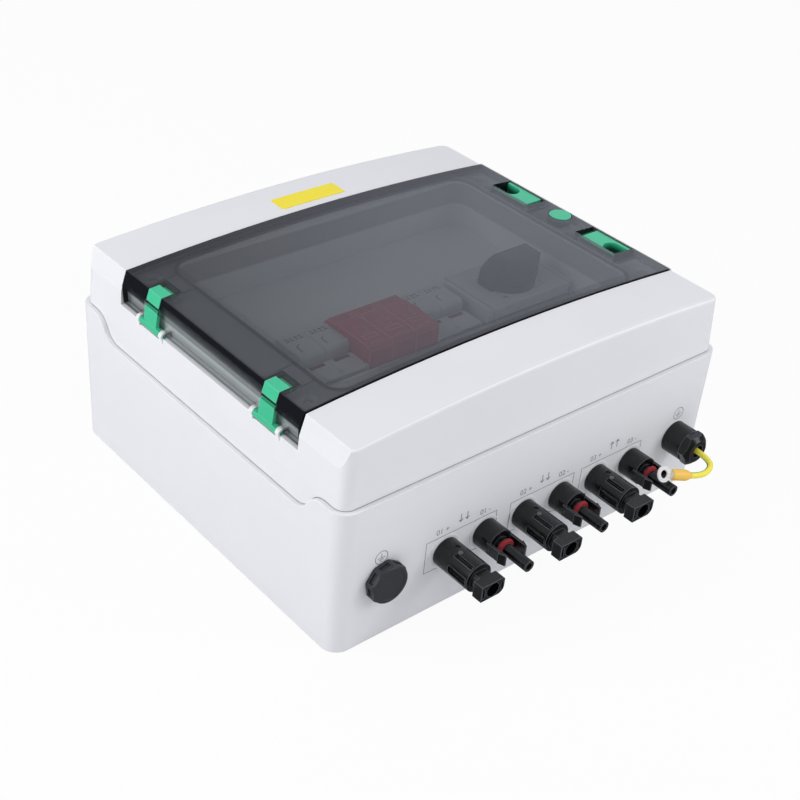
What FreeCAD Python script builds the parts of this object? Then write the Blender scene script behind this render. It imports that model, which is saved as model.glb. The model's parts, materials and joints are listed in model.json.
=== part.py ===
import FreeCAD, Part
import math
import os
import Sketcher
from FreeCAD import Placement, Rotation, Vector

# Solar combiner box lying on its back, as it leaves the factory.
# Frame: X runs from the hinge side (-) to the latch side (+), Y from the connector wall (-) to the
# label side (+), Z out of the wall through the door. Origin: centre of the back face. Millimetres.

# Driving sizes: alias, value, what it measures
SIZES = [
    # Case
    ("case_width", 300, "case along X at the seam"),
    ("case_depth", 264.4, "case along Y at the seam"),
    ("foot_inset", 0.5, "draft of the base, from seam to back"),
    ("cover_step", 3.0, "cover in from the base's rim, all round"),
    ("cover_draft", 0.9, "cover's long walls lean in, from seam to facet foot"),
    ("rim_width", 5.0, "base rim under the cover's edge, in from the outside"),
    ("rim_height", 6.0, "height of the base rim"),
    ("seam_height", 97, "seam between base and cover on the long walls"),
    ("case_corner", 10.6, "radius of the upright corners of the base"),
    ("case_wall", 3.0, "wall of base and cover"),
    ("case_floor", 3.0, "back of the base"),
    ("grip_drop", 15, "seam lowered along the middle of the end walls"),
    ("grip_half", 91, "half length of the lowered seam"),
    ("grip_run", 24, "length of each S bend of the seam"),
    # Cover front
    ("crease_height", 135.3, "height of the crease round the front"),
    ("crease_inset_x", 7.8, "crease in from the case end"),
    ("crease_inset_y", 11.0, "crease in from the long wall"),
    ("facet_drop", 9.6, "slanted facet at each end, its foot under the crease"),
    ("facet_inset", 4.8, "facet foot in from the case end"),
    ("front_rise", 5.8, "rise of the arched front over the creases"),
    ("front_edge_radius", 2.4, "rounded edge between the front and the long walls"),
    ("end_rim", 1.4, "cover's front past the door at the latch end"),
    # Door and its recess
    ("door_half", 87.6, "half length of the door along Y"),
    ("door_gap", 0.8, "gap between door and cover"),
    ("door_skin", 3.0, "thickness of the door"),
    ("door_proud", 0.9, "door's front over the cover's bands beside it"),
    ("wrap_lean", 0.8, "door's wrap leans in, from the facet to its foot"),
    ("door_drop", 21.0, "door's wrap down the hinge end, under the crease"),
    ("recess_depth", 4.0, "recess under the front of the door"),
    ("side_recess", 5.0, "recess behind the door's wrap"),
    ("foot_gap", 1.4, "recess below the door's wrap"),
    # Window well and inner panel
    ("window_side", 7.6, "window edge in from the door's long side"),
    ("window_left_inset", 35, "window edge in from the hinge end"),
    ("window_right_inset", 34, "window edge in from the latch end"),
    ("window_corner", 10, "corner radius of the window"),
    ("panel_rise", 50.5, "front of the inner panel over the rail"),
    ("panel_skin", 2.5, "inner panel and well walls"),
    ("door_seal_width", 1.8, "seal round the window"),
    ("door_seal_offset", 1.0, "seal out from the window edge"),
    ("door_seal_seat", 1.5, "seal down into its groove"),
    ("door_seal_proud", 0.7, "seal above the recess floor"),
    ("seam_gap", 0.4, "shadow gap between base and cover"),
    ("case_seal_width", 1.0, "seal in the seam"),
    ("case_seal_inset", 0.6, "seal in from the cover's outside"),
    ("case_seal_depth", 1.0, "seal into each half"),
    # Hinges
    ("hinge_far", 55.6, "centre of the far hinge from the middle"),
    ("hinge_near", 59.2, "centre of the near hinge from the middle"),
    ("hinge_width", 12.8, "hinge arm along Y"),
    ("hinge_foot_width", 20.8, "foot of the hinge arm along Y"),
    ("hinge_clearance", 0.5, "gap round the hinge arm"),
    ("hinge_skin", 2.0, "thickness of the hinge arm"),
    ("hinge_reach", 7.0, "arm along the front, in from the crease"),
    ("hinge_tongue", 10.7, "lower tongue of the arm, in from the crease"),
    ("strap_drop", 9.7, "arm comes out again under the door's bar, under the crease"),
    ("notch_reach", 11.2, "door notch along the front, in from the crease"),
    ("pivot_inset", 5.4, "hinge axis in from the case end"),
    ("pivot_drop", 21.4, "hinge axis under the crease"),
    ("knuckle_radius", 2.3, "round foot of the hinge arm"),
    ("lug_radius", 2.8, "round end of a lug"),
    ("hinge_pin_radius", 1.5, "pin of the hinge arm"),
    ("hinge_pin_clearance", 0.06, "running clearance of the pin"),
    ("hinge_pin_reach", 2.4, "pin into each lug"),
    ("lug_width", 2.8, "white lug beside the hinge foot"),
    ("bar_low_drop", 7.9, "door bar over the hinge arm, lower edge under the crease"),
    ("bar_high_drop", 6.8, "door bar over the hinge arm, upper edge under the crease"),
    # Latches
    ("latch_inner", 22.0, "door slot end nearest the middle"),
    ("latch_outer", 56.8, "door slot end furthest from the middle"),
    ("latch_edge", 0.7, "latch slot in from the crease"),
    ("latch_width", 16.5, "latch slot along X"),
    ("latch_clearance", 0.3, "gap round the latch"),
    ("latch_travel", 4.0, "slide to release"),
    ("latch_tongue", 1.6, "tongue under the door skin, past the slot"),
    ("hook_inset", 12.0, "latch hook in from the latch's outer end"),
    ("hook_width", 8.0, "latch hook along X"),
    ("hook_leg", 3.0, "leg of the latch hook along Y"),
    ("hook_grip", 2.0, "hook's lip under the catch"),
    ("hook_lip", 1.6, "thickness of the hook's lip"),
    ("hook_clearance", 0.4, "gap round the hook"),
    ("latch_drop", 0.7, "front of the latch under the crease"),
    ("latch_box_depth", 11.3, "latch box on the door, its lower face under the crease"),
    ("latch_box_skin", 1.5, "walls of the latch box"),
    ("thumb_radius", 6.1, "half-round thumb recess"),
    ("thumb_depth", 7.0, "depth of the thumb recess"),
    ("thumb_run", 9.3, "centre of the half round from the latch's outer end"),
    ("pocket_gap", 5.0, "latch pocket of the cover below the latch box"),
    ("pocket_side", 1.7, "latch pocket beside the latch box"),
    ("pocket_end", 4.7, "latch pocket past the end of the latch box"),
    ("plug_shift", 0.75, "lock plug centre from the latches' middle along X"),
    ("plug_y", 1.1, "lock plug centre"),
    ("plug_radius", 7.3, "lock plug head"),
    ("plug_boss_radius", 7.0, "boss of the door under the lock plug"),
    # Case screws
    ("screw_inset", 20, "cover screws in from the case ends"),
    ("screw_side", 11.6, "cover screws in from the door's long sides"),
    ("post_radius", 6.0, "posts of base and cover"),
    ("screw_radius", 2.2, "cover screw shank"),
    ("screw_head_radius", 4.0, "cover screw head"),
    ("screw_seat_drop", 10.3, "seat of the cover screw head under the crease"),
    ("screw_bite", 12.0, "cover screw into the base post"),
    # Wall holes
    ("wall_hole_inset_x", 30, "wall mounting holes in from the case ends"),
    ("wall_hole_inset_y", 32.2, "wall mounting holes in from the long walls"),
    ("wall_hole_radius", 2.75, "wall mounting holes"),
    # Rail and devices
    ("row_y", -11.5, "centre line of the rail and its devices"),
    ("row_left", -89, "left end of the device row"),
    ("module_pitch", 18, "one device module"),
    ("module_gap", 0.4, "gap between devices"),
    ("rail_front", 50, "front of the rail"),
    ("rail_height", 7.5, "depth of the rail"),
    ("rail_width", 35, "width of the rail"),
    ("rail_base_width", 27, "flat back of the rail"),
    ("rail_gauge", 1.0, "rail sheet"),
    ("rail_inset", 28, "rail end in from the case end"),
    ("rail_screw_inset", 10, "rail screws in from the rail ends"),
    ("device_half", 42, "half length of a device"),
    ("nose_half", 22.2, "half length of a device's nose"),
    ("shoulder_rise", 44, "shoulder of a device over the rail"),
    ("cartridge_rise", 64.5, "front of the surge cartridges over the rail"),
    ("hook_depth", 3.0, "device foot hooks below the rail front"),
    ("stop_width", 6.5, "end stop along the rail"),
    ("stop_half", 24, "half length of an end stop"),
    ("stop_rise", 14, "end stop over the rail"),
    ("stop_fall", 6.0, "end stop's sloped shoulders"),
    ("stop_hole_depth", 5.0, "screw hole of an end stop"),
    ("slot_clearance", 0.8, "inner panel slot round the noses"),
    ("isolator_gap", 5, "fuse holders to isolator"),
    ("isolator_width", 72, "isolator along X"),
    ("isolator_rise", 60, "front plate of the isolator over the rail"),
    ("isolator_plate_half", 24, "half length of the isolator's front plate"),
    ("isolator_plate", 4.0, "thickness of the isolator's front plate"),
    ("plate_screw_x", 16.0, "plate screws from the isolator's centre along X"),
    ("plate_screw_y", 15.5, "plate screws from the isolator's centre along Y"),
    ("knob_radius", 18, "isolator knob"),
    ("knob_base", 3.7, "thickness of the knob's disc"),
    ("knob_height", 18, "knob over its plate"),
    ("grip_length", 39, "grip bar of the knob"),
    ("grip_width", 13, "grip bar of the knob"),
    ("shaft_radius", 3.0, "isolator shaft"),
    ("knob_bore_depth", 8.0, "shaft's hole in the knob, over the isolator's front"),
    ("shaft_clearance", 0.06, "running clearance of shaft"),
    # Fuse drawers
    ("drawer_pivot_y", -20.6, "drawer pivot from the row centre"),
    ("drawer_pivot_rise", 1.6, "drawer pivot over the inner panel"),
    ("drawer_flat_rise", 2.9, "flat lower front of the drawer over the inner panel"),
    ("drawer_lip_rise", 9.9, "raised grip of the drawer over the inner panel"),
    ("fuse_radius", 5.15, "fuse link"),
    ("fuse_length", 38, "fuse link"),
    ("cavity_wall", 1.0, "wall of the drawer's cavity at its free end"),
    ("cavity_back", 2.0, "wall of the drawer's cavity at its pivot"),
    ("fuse_drop", 5.5, "fuse link centre under the inner panel's front"),
    # Connector wall
    ("port_height", 39.6, "connector axes over the back"),
    ("port_first_x", -72.3, "first connector"),
    ("port_pair_pitch", 60.8, "one pair to the next"),
    ("port_in_pair", 30.0, "socket to pin within a pair"),
    ("port_proud", 0.2, "outer face of the port bosses past the seam"),
    ("port_boss_radius", 11.2, "moulded boss round each port"),
    ("port_hole_radius", 7.9, "hole for each connector"),
    ("port_shank_radius", 7.6, "connector shank through the wall"),
    ("port_shank", 18.0, "shank length behind the port face"),
    ("barrel_radius", 9.2, "connector barrel"),
    ("socket_barrel", 27.8, "socket barrel length"),
    ("socket_neck", 4.8, "socket neck length"),
    ("socket_box", 7.0, "socket end box length"),
    ("socket_box_half", 8.5, "socket end box half width"),
    ("socket_box_rise", 5.2, "socket end box half height"),
    ("socket_bore", 4.6, "socket bore radius"),
    ("socket_bore_depth", 12.0, "socket bore depth"),
    ("pin_barrel", 13.2, "pin connector barrel length"),
    ("pin_neck_radius", 5.0, "pin connector neck"),
    ("pin_neck", 3.0, "pin connector neck length"),
    ("pin_sleeve_radius", 3.65, "pin connector sleeve"),
    ("pin_sleeve_tip", 37.0, "sleeve tip from the port face"),
    ("pin_bore", 2.3, "sleeve bore radius"),
    ("pin_bore_depth", 16.0, "sleeve bore depth"),
    ("arm_reach", 12.8, "latch arms past the barrel"),
    ("seal_ring_radius", 6.0, "red seal ring"),
    ("seal_ring_width", 2.6, "red seal ring"),
    ("ring_seat_radius", 3.9, "seat of the seal ring on the sleeve"),
    ("contact_radius", 1.5, "pin contact"),
    ("tube_radius", 2.6, "socket contact"),
    ("tube_length", 14.0, "socket contact"),
    ("nut_circumradius", 12.5, "lock nuts inside the wall"),
    ("nut_thickness", 5.0, "lock nuts inside the wall"),
    ("nut_gap", 0.3, "lock nut to the drafted wall"),
    # Blanking plug and gland
    ("blank_inset", 32.5, "blanking plug in from the hinge end"),
    ("blank_height", 41.7, "blanking plug"),
    ("blank_hex", 13.9, "blanking plug across corners, half"),
    ("blank_face_radius", 12.3, "round front of the blanking plug"),
    ("blank_thickness", 7.0, "blanking plug head"),
    ("gland_inset", 30, "cable gland in from the latch end"),
    ("gland_height", 42.5, "cable gland"),
    ("gland_radius", 10.6, "gland barrel"),
    ("gland_barrel", 13.6, "gland barrel length"),
    ("gland_nut", 7.2, "gland cap nut length"),
    ("gland_nut_circumradius", 11.4, "gland cap nut"),
    ("gland_mouth", 4.4, "mouth of the cap nut"),
    # Earth wire
    ("wire_radius", 1.9, "earth wire"),
    ("sleeve_radius", 3.5, "insulating sleeve"),
    ("sleeve_length", 13.0, "insulating sleeve"),
    ("ring_radius", 5.0, "ring terminal"),
    ("ring_hole", 2.6, "ring terminal hole"),
    ("ring_gauge", 0.9, "ring terminal sheet"),
    ("ring_reach", 8.3, "ring centre from the sleeve"),
    ("wire_start", 2.4, "wire's start inside the mouth of the gland's cap nut"),
    # Label
    ("label_x", 2.7, "blank sticker centre"),
    ("label_y", 102.6, "blank sticker centre"),
    ("label_length", 50, "blank sticker"),
    ("label_width", 14.5, "blank sticker"),
    ("label_gauge", 0.25, "blank sticker"),
]

# Route of the earth wire to its sleeve, chosen from the photograph: steps from its start in the gland
WIRE_STEPS = [
    (0.0, 0.0, 0.0),
    (0.0, -8.2, 0.0),
    (-2.0, -16.2, -2.0),
    (-14.3, -19.2, -2.4),
    (-24.1, -16.6, 0.6),
]
RING_NORMAL = (-0.13, -0.858, 0.495)

doc = FreeCAD.newDocument("combiner_box")


class Size:
    """A length that carries its number and the sheet formula it is bound to."""

    def __init__(self, number, formula):
        self.number = float(number)
        self.formula = formula

    def join(self, other, sign, number):
        return Size(number, "(%s %s %s)" % (self.formula, sign, formula(other)))

    def __add__(self, other):
        return self.join(other, "+", self.number + number(other))

    def __sub__(self, other):
        return self.join(other, "-", self.number - number(other))

    def __mul__(self, other):
        return self.join(other, "*", self.number * number(other))

    def __truediv__(self, other):
        return self.join(other, "/", self.number / number(other))

    def __radd__(self, other):
        return size_of(other) + self

    def __rsub__(self, other):
        return size_of(other) - self

    def __rmul__(self, other):
        return size_of(other) * self

    def __neg__(self):
        return Size(-self.number, "(-%s)" % self.formula)


def number(value):
    return value.number if isinstance(value, Size) else float(value)


def formula(value):
    return value.formula if isinstance(value, Size) else "(%.6f)" % float(value)


def size_of(value):
    return value if isinstance(value, Size) else Size(value, formula(value))


def make_sheet():
    """Write the driving sizes into the spreadsheet, one alias each."""
    sheet = doc.addObject("Spreadsheet::Sheet", "Sizes")
    for row, (alias, value, note) in enumerate(SIZES, start=1):
        sheet.set("A%d" % row, note)
        sheet.set("B%d" % row, str(value))
        sheet.setAlias("B%d" % row, alias)
    doc.recompute()
    return {alias: Size(sheet.get(alias), "Sizes." + alias) for alias, _, _ in SIZES}


S = make_sheet()


# Shared builders

def bind(thing, path, value):
    thing.setExpression(path, formula(value))


def place(thing, at, rotation=None):
    """Put a primitive at a point, each coordinate bound to the sheet."""
    if rotation is not None:
        thing.Placement = Placement(Vector(), rotation)
    for axis, value in zip("xyz", at):
        bind(thing, "Placement.Base." + axis, value)


TURNS = {
    "z": Rotation(),
    "x": Rotation(Vector(0, 1, 0), 90),
    "y": Rotation(Vector(1, 0, 0), -90),
    "-y": Rotation(Vector(1, 0, 0), 90),
}


def block(name, low, high):
    """A block between two corners."""
    thing = doc.addObject("Part::Box", name)
    for prop, a, b in zip(("Length", "Width", "Height"), low, high):
        bind(thing, prop, size_of(b) - a)
    place(thing, low)
    return thing


def rod(name, radius, start, length, axis="z"):
    """A cylinder from a point along an axis."""
    thing = doc.addObject("Part::Cylinder", name)
    bind(thing, "Radius", radius)
    bind(thing, "Height", length)
    place(thing, start, TURNS[axis])
    return thing


def cone(name, radius_1, radius_2, start, length, axis="z"):
    thing = doc.addObject("Part::Cone", name)
    bind(thing, "Radius1", radius_1)
    bind(thing, "Radius2", radius_2)
    bind(thing, "Height", length)
    place(thing, start, TURNS[axis])
    return thing


def hexagon(name, circumradius, start, length, axis="z"):
    thing = doc.addObject("Part::Prism", name)
    thing.Polygon = 6
    bind(thing, "Circumradius", circumradius)
    bind(thing, "Height", length)
    place(thing, start, TURNS[axis])
    return thing


def fuse(name, *parts):
    thing = doc.addObject("Part::MultiFuse", name)
    thing.Shapes = list(parts)
    thing.Refine = True
    return thing


def cut(name, base, *tools):
    tool = tools[0] if len(tools) == 1 else fuse(name + "_tools", *tools)
    thing = doc.addObject("Part::Cut", name)
    thing.Base = base
    thing.Tool = tool
    thing.Refine = True
    return thing


def common(name, *parts):
    thing = doc.addObject("Part::MultiCommon", name)
    thing.Shapes = list(parts)
    return thing


def group(name, *parts):
    """Identical loose pieces that share one node."""
    thing = doc.addObject("Part::Compound", name)
    thing.Links = list(parts)
    return thing


def rounded(name, base, radius, choose):
    """Round the edges of a finished shape that the chooser accepts."""
    doc.recompute()
    edges = [i for i, edge in enumerate(base.Shape.Edges, start=1) if choose(edge)]
    thing = doc.addObject("Part::Fillet", name)
    thing.Base = base
    thing.Edges = [(i, number(radius), number(radius)) for i in edges]
    return thing


def along(axis):
    """A chooser for straight edges that run along one axis."""
    def chosen(edge):
        if edge.Curve.TypeId != "Part::GeomLine":
            return False
        direction = edge.Curve.Direction
        return abs(getattr(direction, axis)) > 0.999
    return chosen


PLANES = {"XY": 1, "YZ": 1, "XZ": -1}


def outline_sketch(body, plane, offset, outline):
    """A closed outline on one of the body's own planes, every corner bound to the sheet.

    A corner is (u, v), or (u, v, mid_u, mid_v) where an arc through the mid point leads to the next.
    """
    sketch = body.newObject("Sketcher::SketchObject", body.Name + "_sketch")
    support = [item for item in body.Origin.OriginFeatures if item.Role == plane + "_Plane"][0]
    sketch.AttachmentSupport = [(support, "")]
    sketch.MapMode = "FlatFace"
    bind(sketch, "AttachmentOffset.Base.z", offset)
    points = [Vector(number(corner[0]), number(corner[1]), 0) for corner in outline]
    for i, corner in enumerate(outline):
        start, end = points[i], points[(i + 1) % len(points)]
        if len(corner) == 4:
            middle = Vector(number(corner[2]), number(corner[3]), 0)
            sketch.addGeometry(arc_through(start, middle, end), False)
        else:
            sketch.addGeometry(Part.LineSegment(start, end), False)
    ends = [arc_ends(sketch.Geometry[i], points[i]) for i in range(len(points))]
    for i in range(len(points)):
        following = (i + 1) % len(points)
        link = Sketcher.Constraint("Coincident", i, ends[i][1], following, ends[following][0])
        sketch.addConstraint(link)
    for i, corner in enumerate(outline):
        for kind, value in (("DistanceX", corner[0]), ("DistanceY", corner[1])):
            constraint = Sketcher.Constraint(kind, -1, 1, i, ends[i][0], number(value))
            index = sketch.addConstraint(constraint)
            sketch.setExpression("Constraints[%d]" % index, formula(value))
    return sketch


def arc_through(start, middle, end):
    """An arc of circle for a sketch, from three of its points."""
    circle = Part.Arc(start, middle, end).toShape().Curve
    centre = circle.Center
    angles = [math.atan2(p.y - centre.y, p.x - centre.x) for p in (start, middle, end)]
    turning_left = (middle - start).cross(end - middle).z > 0
    first, last = (angles[0], angles[2]) if turning_left else (angles[2], angles[0])
    return Part.ArcOfCircle(Part.Circle(centre, Vector(0, 0, 1), circle.Radius), first, last)


def arc_ends(geometry, start):
    """Which end of a sketch edge is the outline's start, and which its end."""
    forward = (geometry.StartPoint - start).Length < 1e-6
    return (1, 2) if forward else (2, 1)


def prism(name, plane, outline, low, high):
    """A body padded from an outline, from low to high along the plane's normal axis."""
    body = doc.addObject("PartDesign::Body", name)
    offset = size_of(low) if PLANES[plane] > 0 else -size_of(high)
    sketch = outline_sketch(body, plane, offset, outline)
    pad = body.newObject("PartDesign::Pad", name + "_pad")
    pad.Profile = sketch
    bind(pad, "Length", size_of(high) - low)
    body.Tip = pad
    return body


def turned(name, outline, at, axis):
    """A body turned from an outline (radius, height) about its Z axis, then laid along an axis."""
    body = doc.addObject("PartDesign::Body", name)
    sketch = outline_sketch(body, "XZ", 0, outline)
    spin = body.newObject("PartDesign::Revolution", name + "_spin")
    spin.Profile = sketch
    spin.ReferenceAxis = (sketch, ["V_Axis"])
    spin.Angle = 360
    body.Tip = spin
    place(body, at, TURNS[axis])
    return body


def feature(name, shape):
    """A piece whose form needs surface functions of its own."""
    thing = doc.addObject("Part::Feature", name)
    thing.Shape = shape
    return thing


# Surfaces shared by base and cover

HALF_X = S["case_width"] / 2
HALF_Y = S["case_depth"] / 2
SEAM = S["seam_height"]
GRIP_Z = SEAM - S["grip_drop"]
CREASE = S["crease_height"]
CREASE_X = HALF_X - S["crease_inset_x"]
FACET_Z = CREASE - S["facet_drop"]
COVER_X = HALF_X - S["cover_step"]
COVER_Y = HALF_Y - S["cover_step"]
FAR = 400.0

# Places that several pieces share

DOOR_FOOT = CREASE - S["door_drop"]
RECESS_FOOT = DOOR_FOOT - S["foot_gap"]
DOOR_UNDER = CREASE - S["door_skin"]
WINDOW_HALF = S["door_half"] - S["window_side"]
WINDOW_LEFT = HALF_X - S["window_left_inset"]
WINDOW_RIGHT = HALF_X - S["window_right_inset"]
PIVOT_X = -HALF_X + S["pivot_inset"]
PIVOT_Z = CREASE - S["pivot_drop"]
HINGE_Y = {1: S["hinge_far"], -1: -S["hinge_near"]}
BAR_LOW = CREASE - S["bar_low_drop"]
BAR_HIGH = CREASE - S["bar_high_drop"]
STRAP_TOP = CREASE - S["strap_drop"]
LATCH_RIGHT = CREASE_X - S["latch_edge"]
LATCH_LEFT = LATCH_RIGHT - S["latch_width"]
LATCH_MIDDLE = (LATCH_LEFT + LATCH_RIGHT) / 2
LATCH_FRONT = CREASE - S["latch_drop"]
LATCH_BOX_FLOOR = CREASE - S["latch_box_depth"]
LATCH_FLOOR = LATCH_BOX_FLOOR + S["latch_box_skin"]
POCKET_FLOOR = LATCH_BOX_FLOOR - S["pocket_gap"]
POCKET_LEFT = LATCH_LEFT - S["latch_box_skin"] - S["pocket_side"]
POCKET_HALF = S["latch_outer"] + S["latch_box_skin"] + S["pocket_end"]
HOOK_Y = S["latch_outer"] - S["hook_inset"]
HOOK_TOP = POCKET_FLOOR - S["case_wall"] - S["hook_clearance"]
PLUG_X = LATCH_MIDDLE + S["plug_shift"]
SCREW_X = HALF_X - S["screw_inset"]
SCREW_Y = S["door_half"] - S["screw_side"]
SCREW_SEAT = CREASE - S["screw_seat_drop"]
WALL_HOLE_X = HALF_X - S["wall_hole_inset_x"]
WALL_HOLE_Y = HALF_Y - S["wall_hole_inset_y"]
RAIL_BACK = S["rail_front"] - S["rail_height"]
RAIL_HALF = HALF_X - S["rail_inset"]
RAIL_SCREW_X = RAIL_HALF - S["rail_screw_inset"]
SHOULDER = S["rail_front"] + S["shoulder_rise"]
PANEL = S["rail_front"] + S["panel_rise"]
CARTRIDGE_FRONT = S["rail_front"] + S["cartridge_rise"]
ISOLATOR_FRONT = S["rail_front"] + S["isolator_rise"]
ROW_MODULES = 7
ISOLATOR_LEFT = S["row_left"] + S["module_pitch"] * ROW_MODULES + S["isolator_gap"]
DRAWER_PIVOT = PANEL + S["drawer_pivot_rise"]
DRAWER_FLAT = PANEL + S["drawer_flat_rise"]
DRAWER_LIP = PANEL + S["drawer_lip_rise"]
FUSE_Z = PANEL - S["fuse_drop"]
PORT_FACE = HALF_Y + S["port_proud"]
SOCKET_LENGTH = S["socket_barrel"] + S["socket_neck"] + S["socket_box"]
SOCKET_FLOOR = -PORT_FACE - SOCKET_LENGTH + S["socket_bore_depth"]
BLANK_X = -HALF_X + S["blank_inset"]
GLAND_X = HALF_X - S["gland_inset"]
GLAND_MOUTH = PORT_FACE + S["gland_barrel"] + S["gland_nut"]
WIRE_START = GLAND_MOUTH - S["wire_start"]
WIRE_ROUTE = [
    (number(GLAND_X) + dx, -number(WIRE_START) + dy, number(S["gland_height"]) + dz)
    for dx, dy, dz in WIRE_STEPS
]


def rounded_rectangle(half_x, half_y, radius, height):
    """A wire round the origin with rounded corners."""
    arcs = []
    turn = radius * (1 - math.sqrt(0.5))
    corners = ((1, 1), (-1, 1), (-1, -1), (1, -1))
    for sx, sy in corners:
        along_x = Vector(sx * half_x, sy * (half_y - radius), height)
        along_y = Vector(sx * (half_x - radius), sy * half_y, height)
        middle = Vector(sx * (half_x - turn), sy * (half_y - turn), height)
        start, end = (along_x, along_y) if sx * sy > 0 else (along_y, along_x)
        arcs.append(Part.Arc(start, middle, end).toShape())
    edges = []
    for arc, following in zip(arcs, arcs[1:] + arcs[:1]):
        edges.append(arc)
        end = arc.Vertexes[-1].Point
        start = following.Vertexes[0].Point
        edges.append(Part.makeLine(end, start))
    return Part.Wire(edges)


def loft(sections):
    return Part.makeLoft([rounded_rectangle(*section) for section in sections], True, True)


def extruded(points, low, high, axis):
    """A slab from a list of 3-D edges, moved along an axis from low to high."""
    face = Part.Face(Part.Wire(points))
    start = Vector(low, 0, 0) if axis == "x" else Vector(0, low, 0)
    travel = Vector(high - low, 0, 0) if axis == "x" else Vector(0, high - low, 0)
    face.translate(start)
    return face.extrude(travel)


def path_edges(points, plane):
    """Edges through (u, v) points; a point after an entry of four numbers ends an arc."""
    def lift(u, v):
        return Vector(u, 0, v) if plane == "XZ" else Vector(0, u, v)
    edges = []
    for here, following in zip(points, points[1:] + points[:1]):
        start, end = lift(here[0], here[1]), lift(following[0], following[1])
        if len(here) == 4:
            edges.append(Part.Arc(start, lift(here[2], here[3]), end).toShape())
        else:
            edges.append(Part.makeLine(start, end))
    return edges


def crease_line(inset):
    """Half width and height of the crease, and the crown, of the front set back by an inset."""
    crease_x = number(HALF_X) - number(S["crease_inset_x"])
    crease_z = number(CREASE)
    rise = number(S["front_rise"])
    slope = facet_slope()
    side = inset * (math.hypot(1, slope) - 1) / slope
    return crease_x - side, crease_z - inset, crease_z + rise - inset


def facet_slope():
    """Fall of the slanted end facet for each millimetre outwards."""
    run = number(S["crease_inset_x"]) - number(S["facet_inset"])
    return (number(CREASE) - number(FACET_Z)) / run


def front_profile(inset, bottom):
    """Everything under the arched front and its end facets, as an X-Z outline."""
    x, z, crown = crease_line(inset)
    reach = number(S["crease_inset_x"]) + 1.0
    low = z - reach * facet_slope()
    far = x + reach
    rim = number(S["end_rim"])
    fall = rim * 2 * (crown - z) / x
    return [
        (-far, bottom), (far + rim, bottom), (far + rim, low - fall), (x + rim, z - fall),
        (x, z, 0.0, crown), (-x, z), (-far, low),
    ]


def base_form(inset, bottom):
    """The base's outer form up past the seam, set in by a wall thickness."""
    half_x, half_y = number(HALF_X) - inset, number(HALF_Y) - inset
    foot = number(S["foot_inset"])
    seam = number(SEAM)
    radius = max(number(S["case_corner"]) - inset, 1.0)
    share = bottom / seam
    low = (half_x - foot * (1 - share), half_y - foot * (1 - share), radius, bottom)
    return loft([low, (half_x, half_y, radius, seam + 1)])


def cover_form(inset):
    """The cover's outer form from below the seam to its arched front, set in by a wall thickness."""
    half_x, half_y = number(COVER_X) - inset, number(COVER_Y) - inset
    seam = number(SEAM)
    bottom = number(GRIP_Z) - 10
    radius = max(number(S["case_corner"]) - number(S["cover_step"]) - inset, 1.0)
    top = number(CREASE) + 2 * number(S["front_rise"])
    growth = (top - seam) / (number(FACET_Z) - seam)
    lean_x = (number(S["facet_inset"]) - number(S["cover_step"])) * growth
    lean_y = number(S["cover_draft"]) * growth
    middle = (half_x, half_y, radius, seam)
    high = (half_x - lean_x, half_y - lean_y, radius, top)
    body = loft([(half_x, half_y, radius, bottom), middle]).fuse(loft([middle, high])).removeSplitter()
    front = extruded(path_edges(front_profile(inset, bottom - 10), "XZ"), -FAR, FAR, "y")
    return body.common(front)


def lower_bands(form):
    """The cover's form with its front lowered beside the door, and the long front edges rounded."""
    proud = number(S["door_proud"])
    half = number(S["door_half"]) + number(S["door_gap"])
    low = number(GRIP_Z) - 20
    bands = extruded(path_edges(front_profile(proud, low), "XZ"), -FAR, FAR, "y")
    lowered = form.common(bands)
    radius = number(S["front_edge_radius"])
    crease = number(CREASE) - proud
    edges = []
    for edge in lowered.Edges:
        box = edge.BoundBox
        on_side = min(abs(box.YMin), abs(box.YMax)) > half
        if on_side and box.ZMin > crease - 3 and box.XLength > 4 * radius:
            edges.append(edge)
    softened = lowered.makeFillet(radius, edges)
    middle = Part.makeBox(2 * FAR, 2 * half, 2 * FAR, Vector(-FAR, -half, -FAR))
    return softened.fuse(form.common(middle)).removeSplitter()


def seam_path(rise):
    """The seam's line as (y, z) points from -Y to +Y, lifted by a rise."""
    high = number(SEAM) + rise
    low = number(GRIP_Z) + rise
    half = number(S["grip_half"])
    run = number(S["grip_run"])
    drop = high - low
    radius = (run ** 2 + drop ** 2) / (4 * drop)
    sweep = 2 * math.asin(run / 2 / math.hypot(run, drop) * math.hypot(run, drop) / (2 * radius))
    side, fall = radius * math.sin(sweep / 2), radius * (1 - math.cos(sweep / 2))
    outer, middle = half + run, half + run / 2
    return [
        (-outer, high, -outer + side, high - fall),
        (-middle, high - drop / 2, -half - side, low + fall),
        (-half, low),
        (half, low, half + side, low + fall),
        (middle, high - drop / 2, outer - side, high - fall),
        (outer, high),
    ]


def below_seam(rise=0.0):
    """All space under the seam."""
    high = number(SEAM) + rise
    outline = [(-FAR, -10.0), (-FAR, high)] + seam_path(rise) + [(FAR, high), (FAR, -10.0)]
    return extruded(path_edges(outline, "YZ"), -FAR, FAR, "x")


def seam_ring(outer_inset, inner_inset, depth):
    """A ring that follows the seam, as far above it as below."""
    top = number(SEAM) + 10
    low = number(GRIP_Z) - 10
    half_x, half_y, radius = number(HALF_X), number(HALF_Y), number(S["case_corner"])
    rings = []
    for inset in (outer_inset, inner_inset):
        rings.append(loft([(half_x - inset, half_y - inset, radius - inset, z) for z in (low, top)]))
    band = below_seam(depth).cut(below_seam(-depth))
    return rings[0].cut(rings[1]).common(band)


def seal_inset():
    """Outer edge of the seam's seal, in from the base's outside."""
    return number(S["cover_step"]) + number(S["case_seal_inset"])


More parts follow.
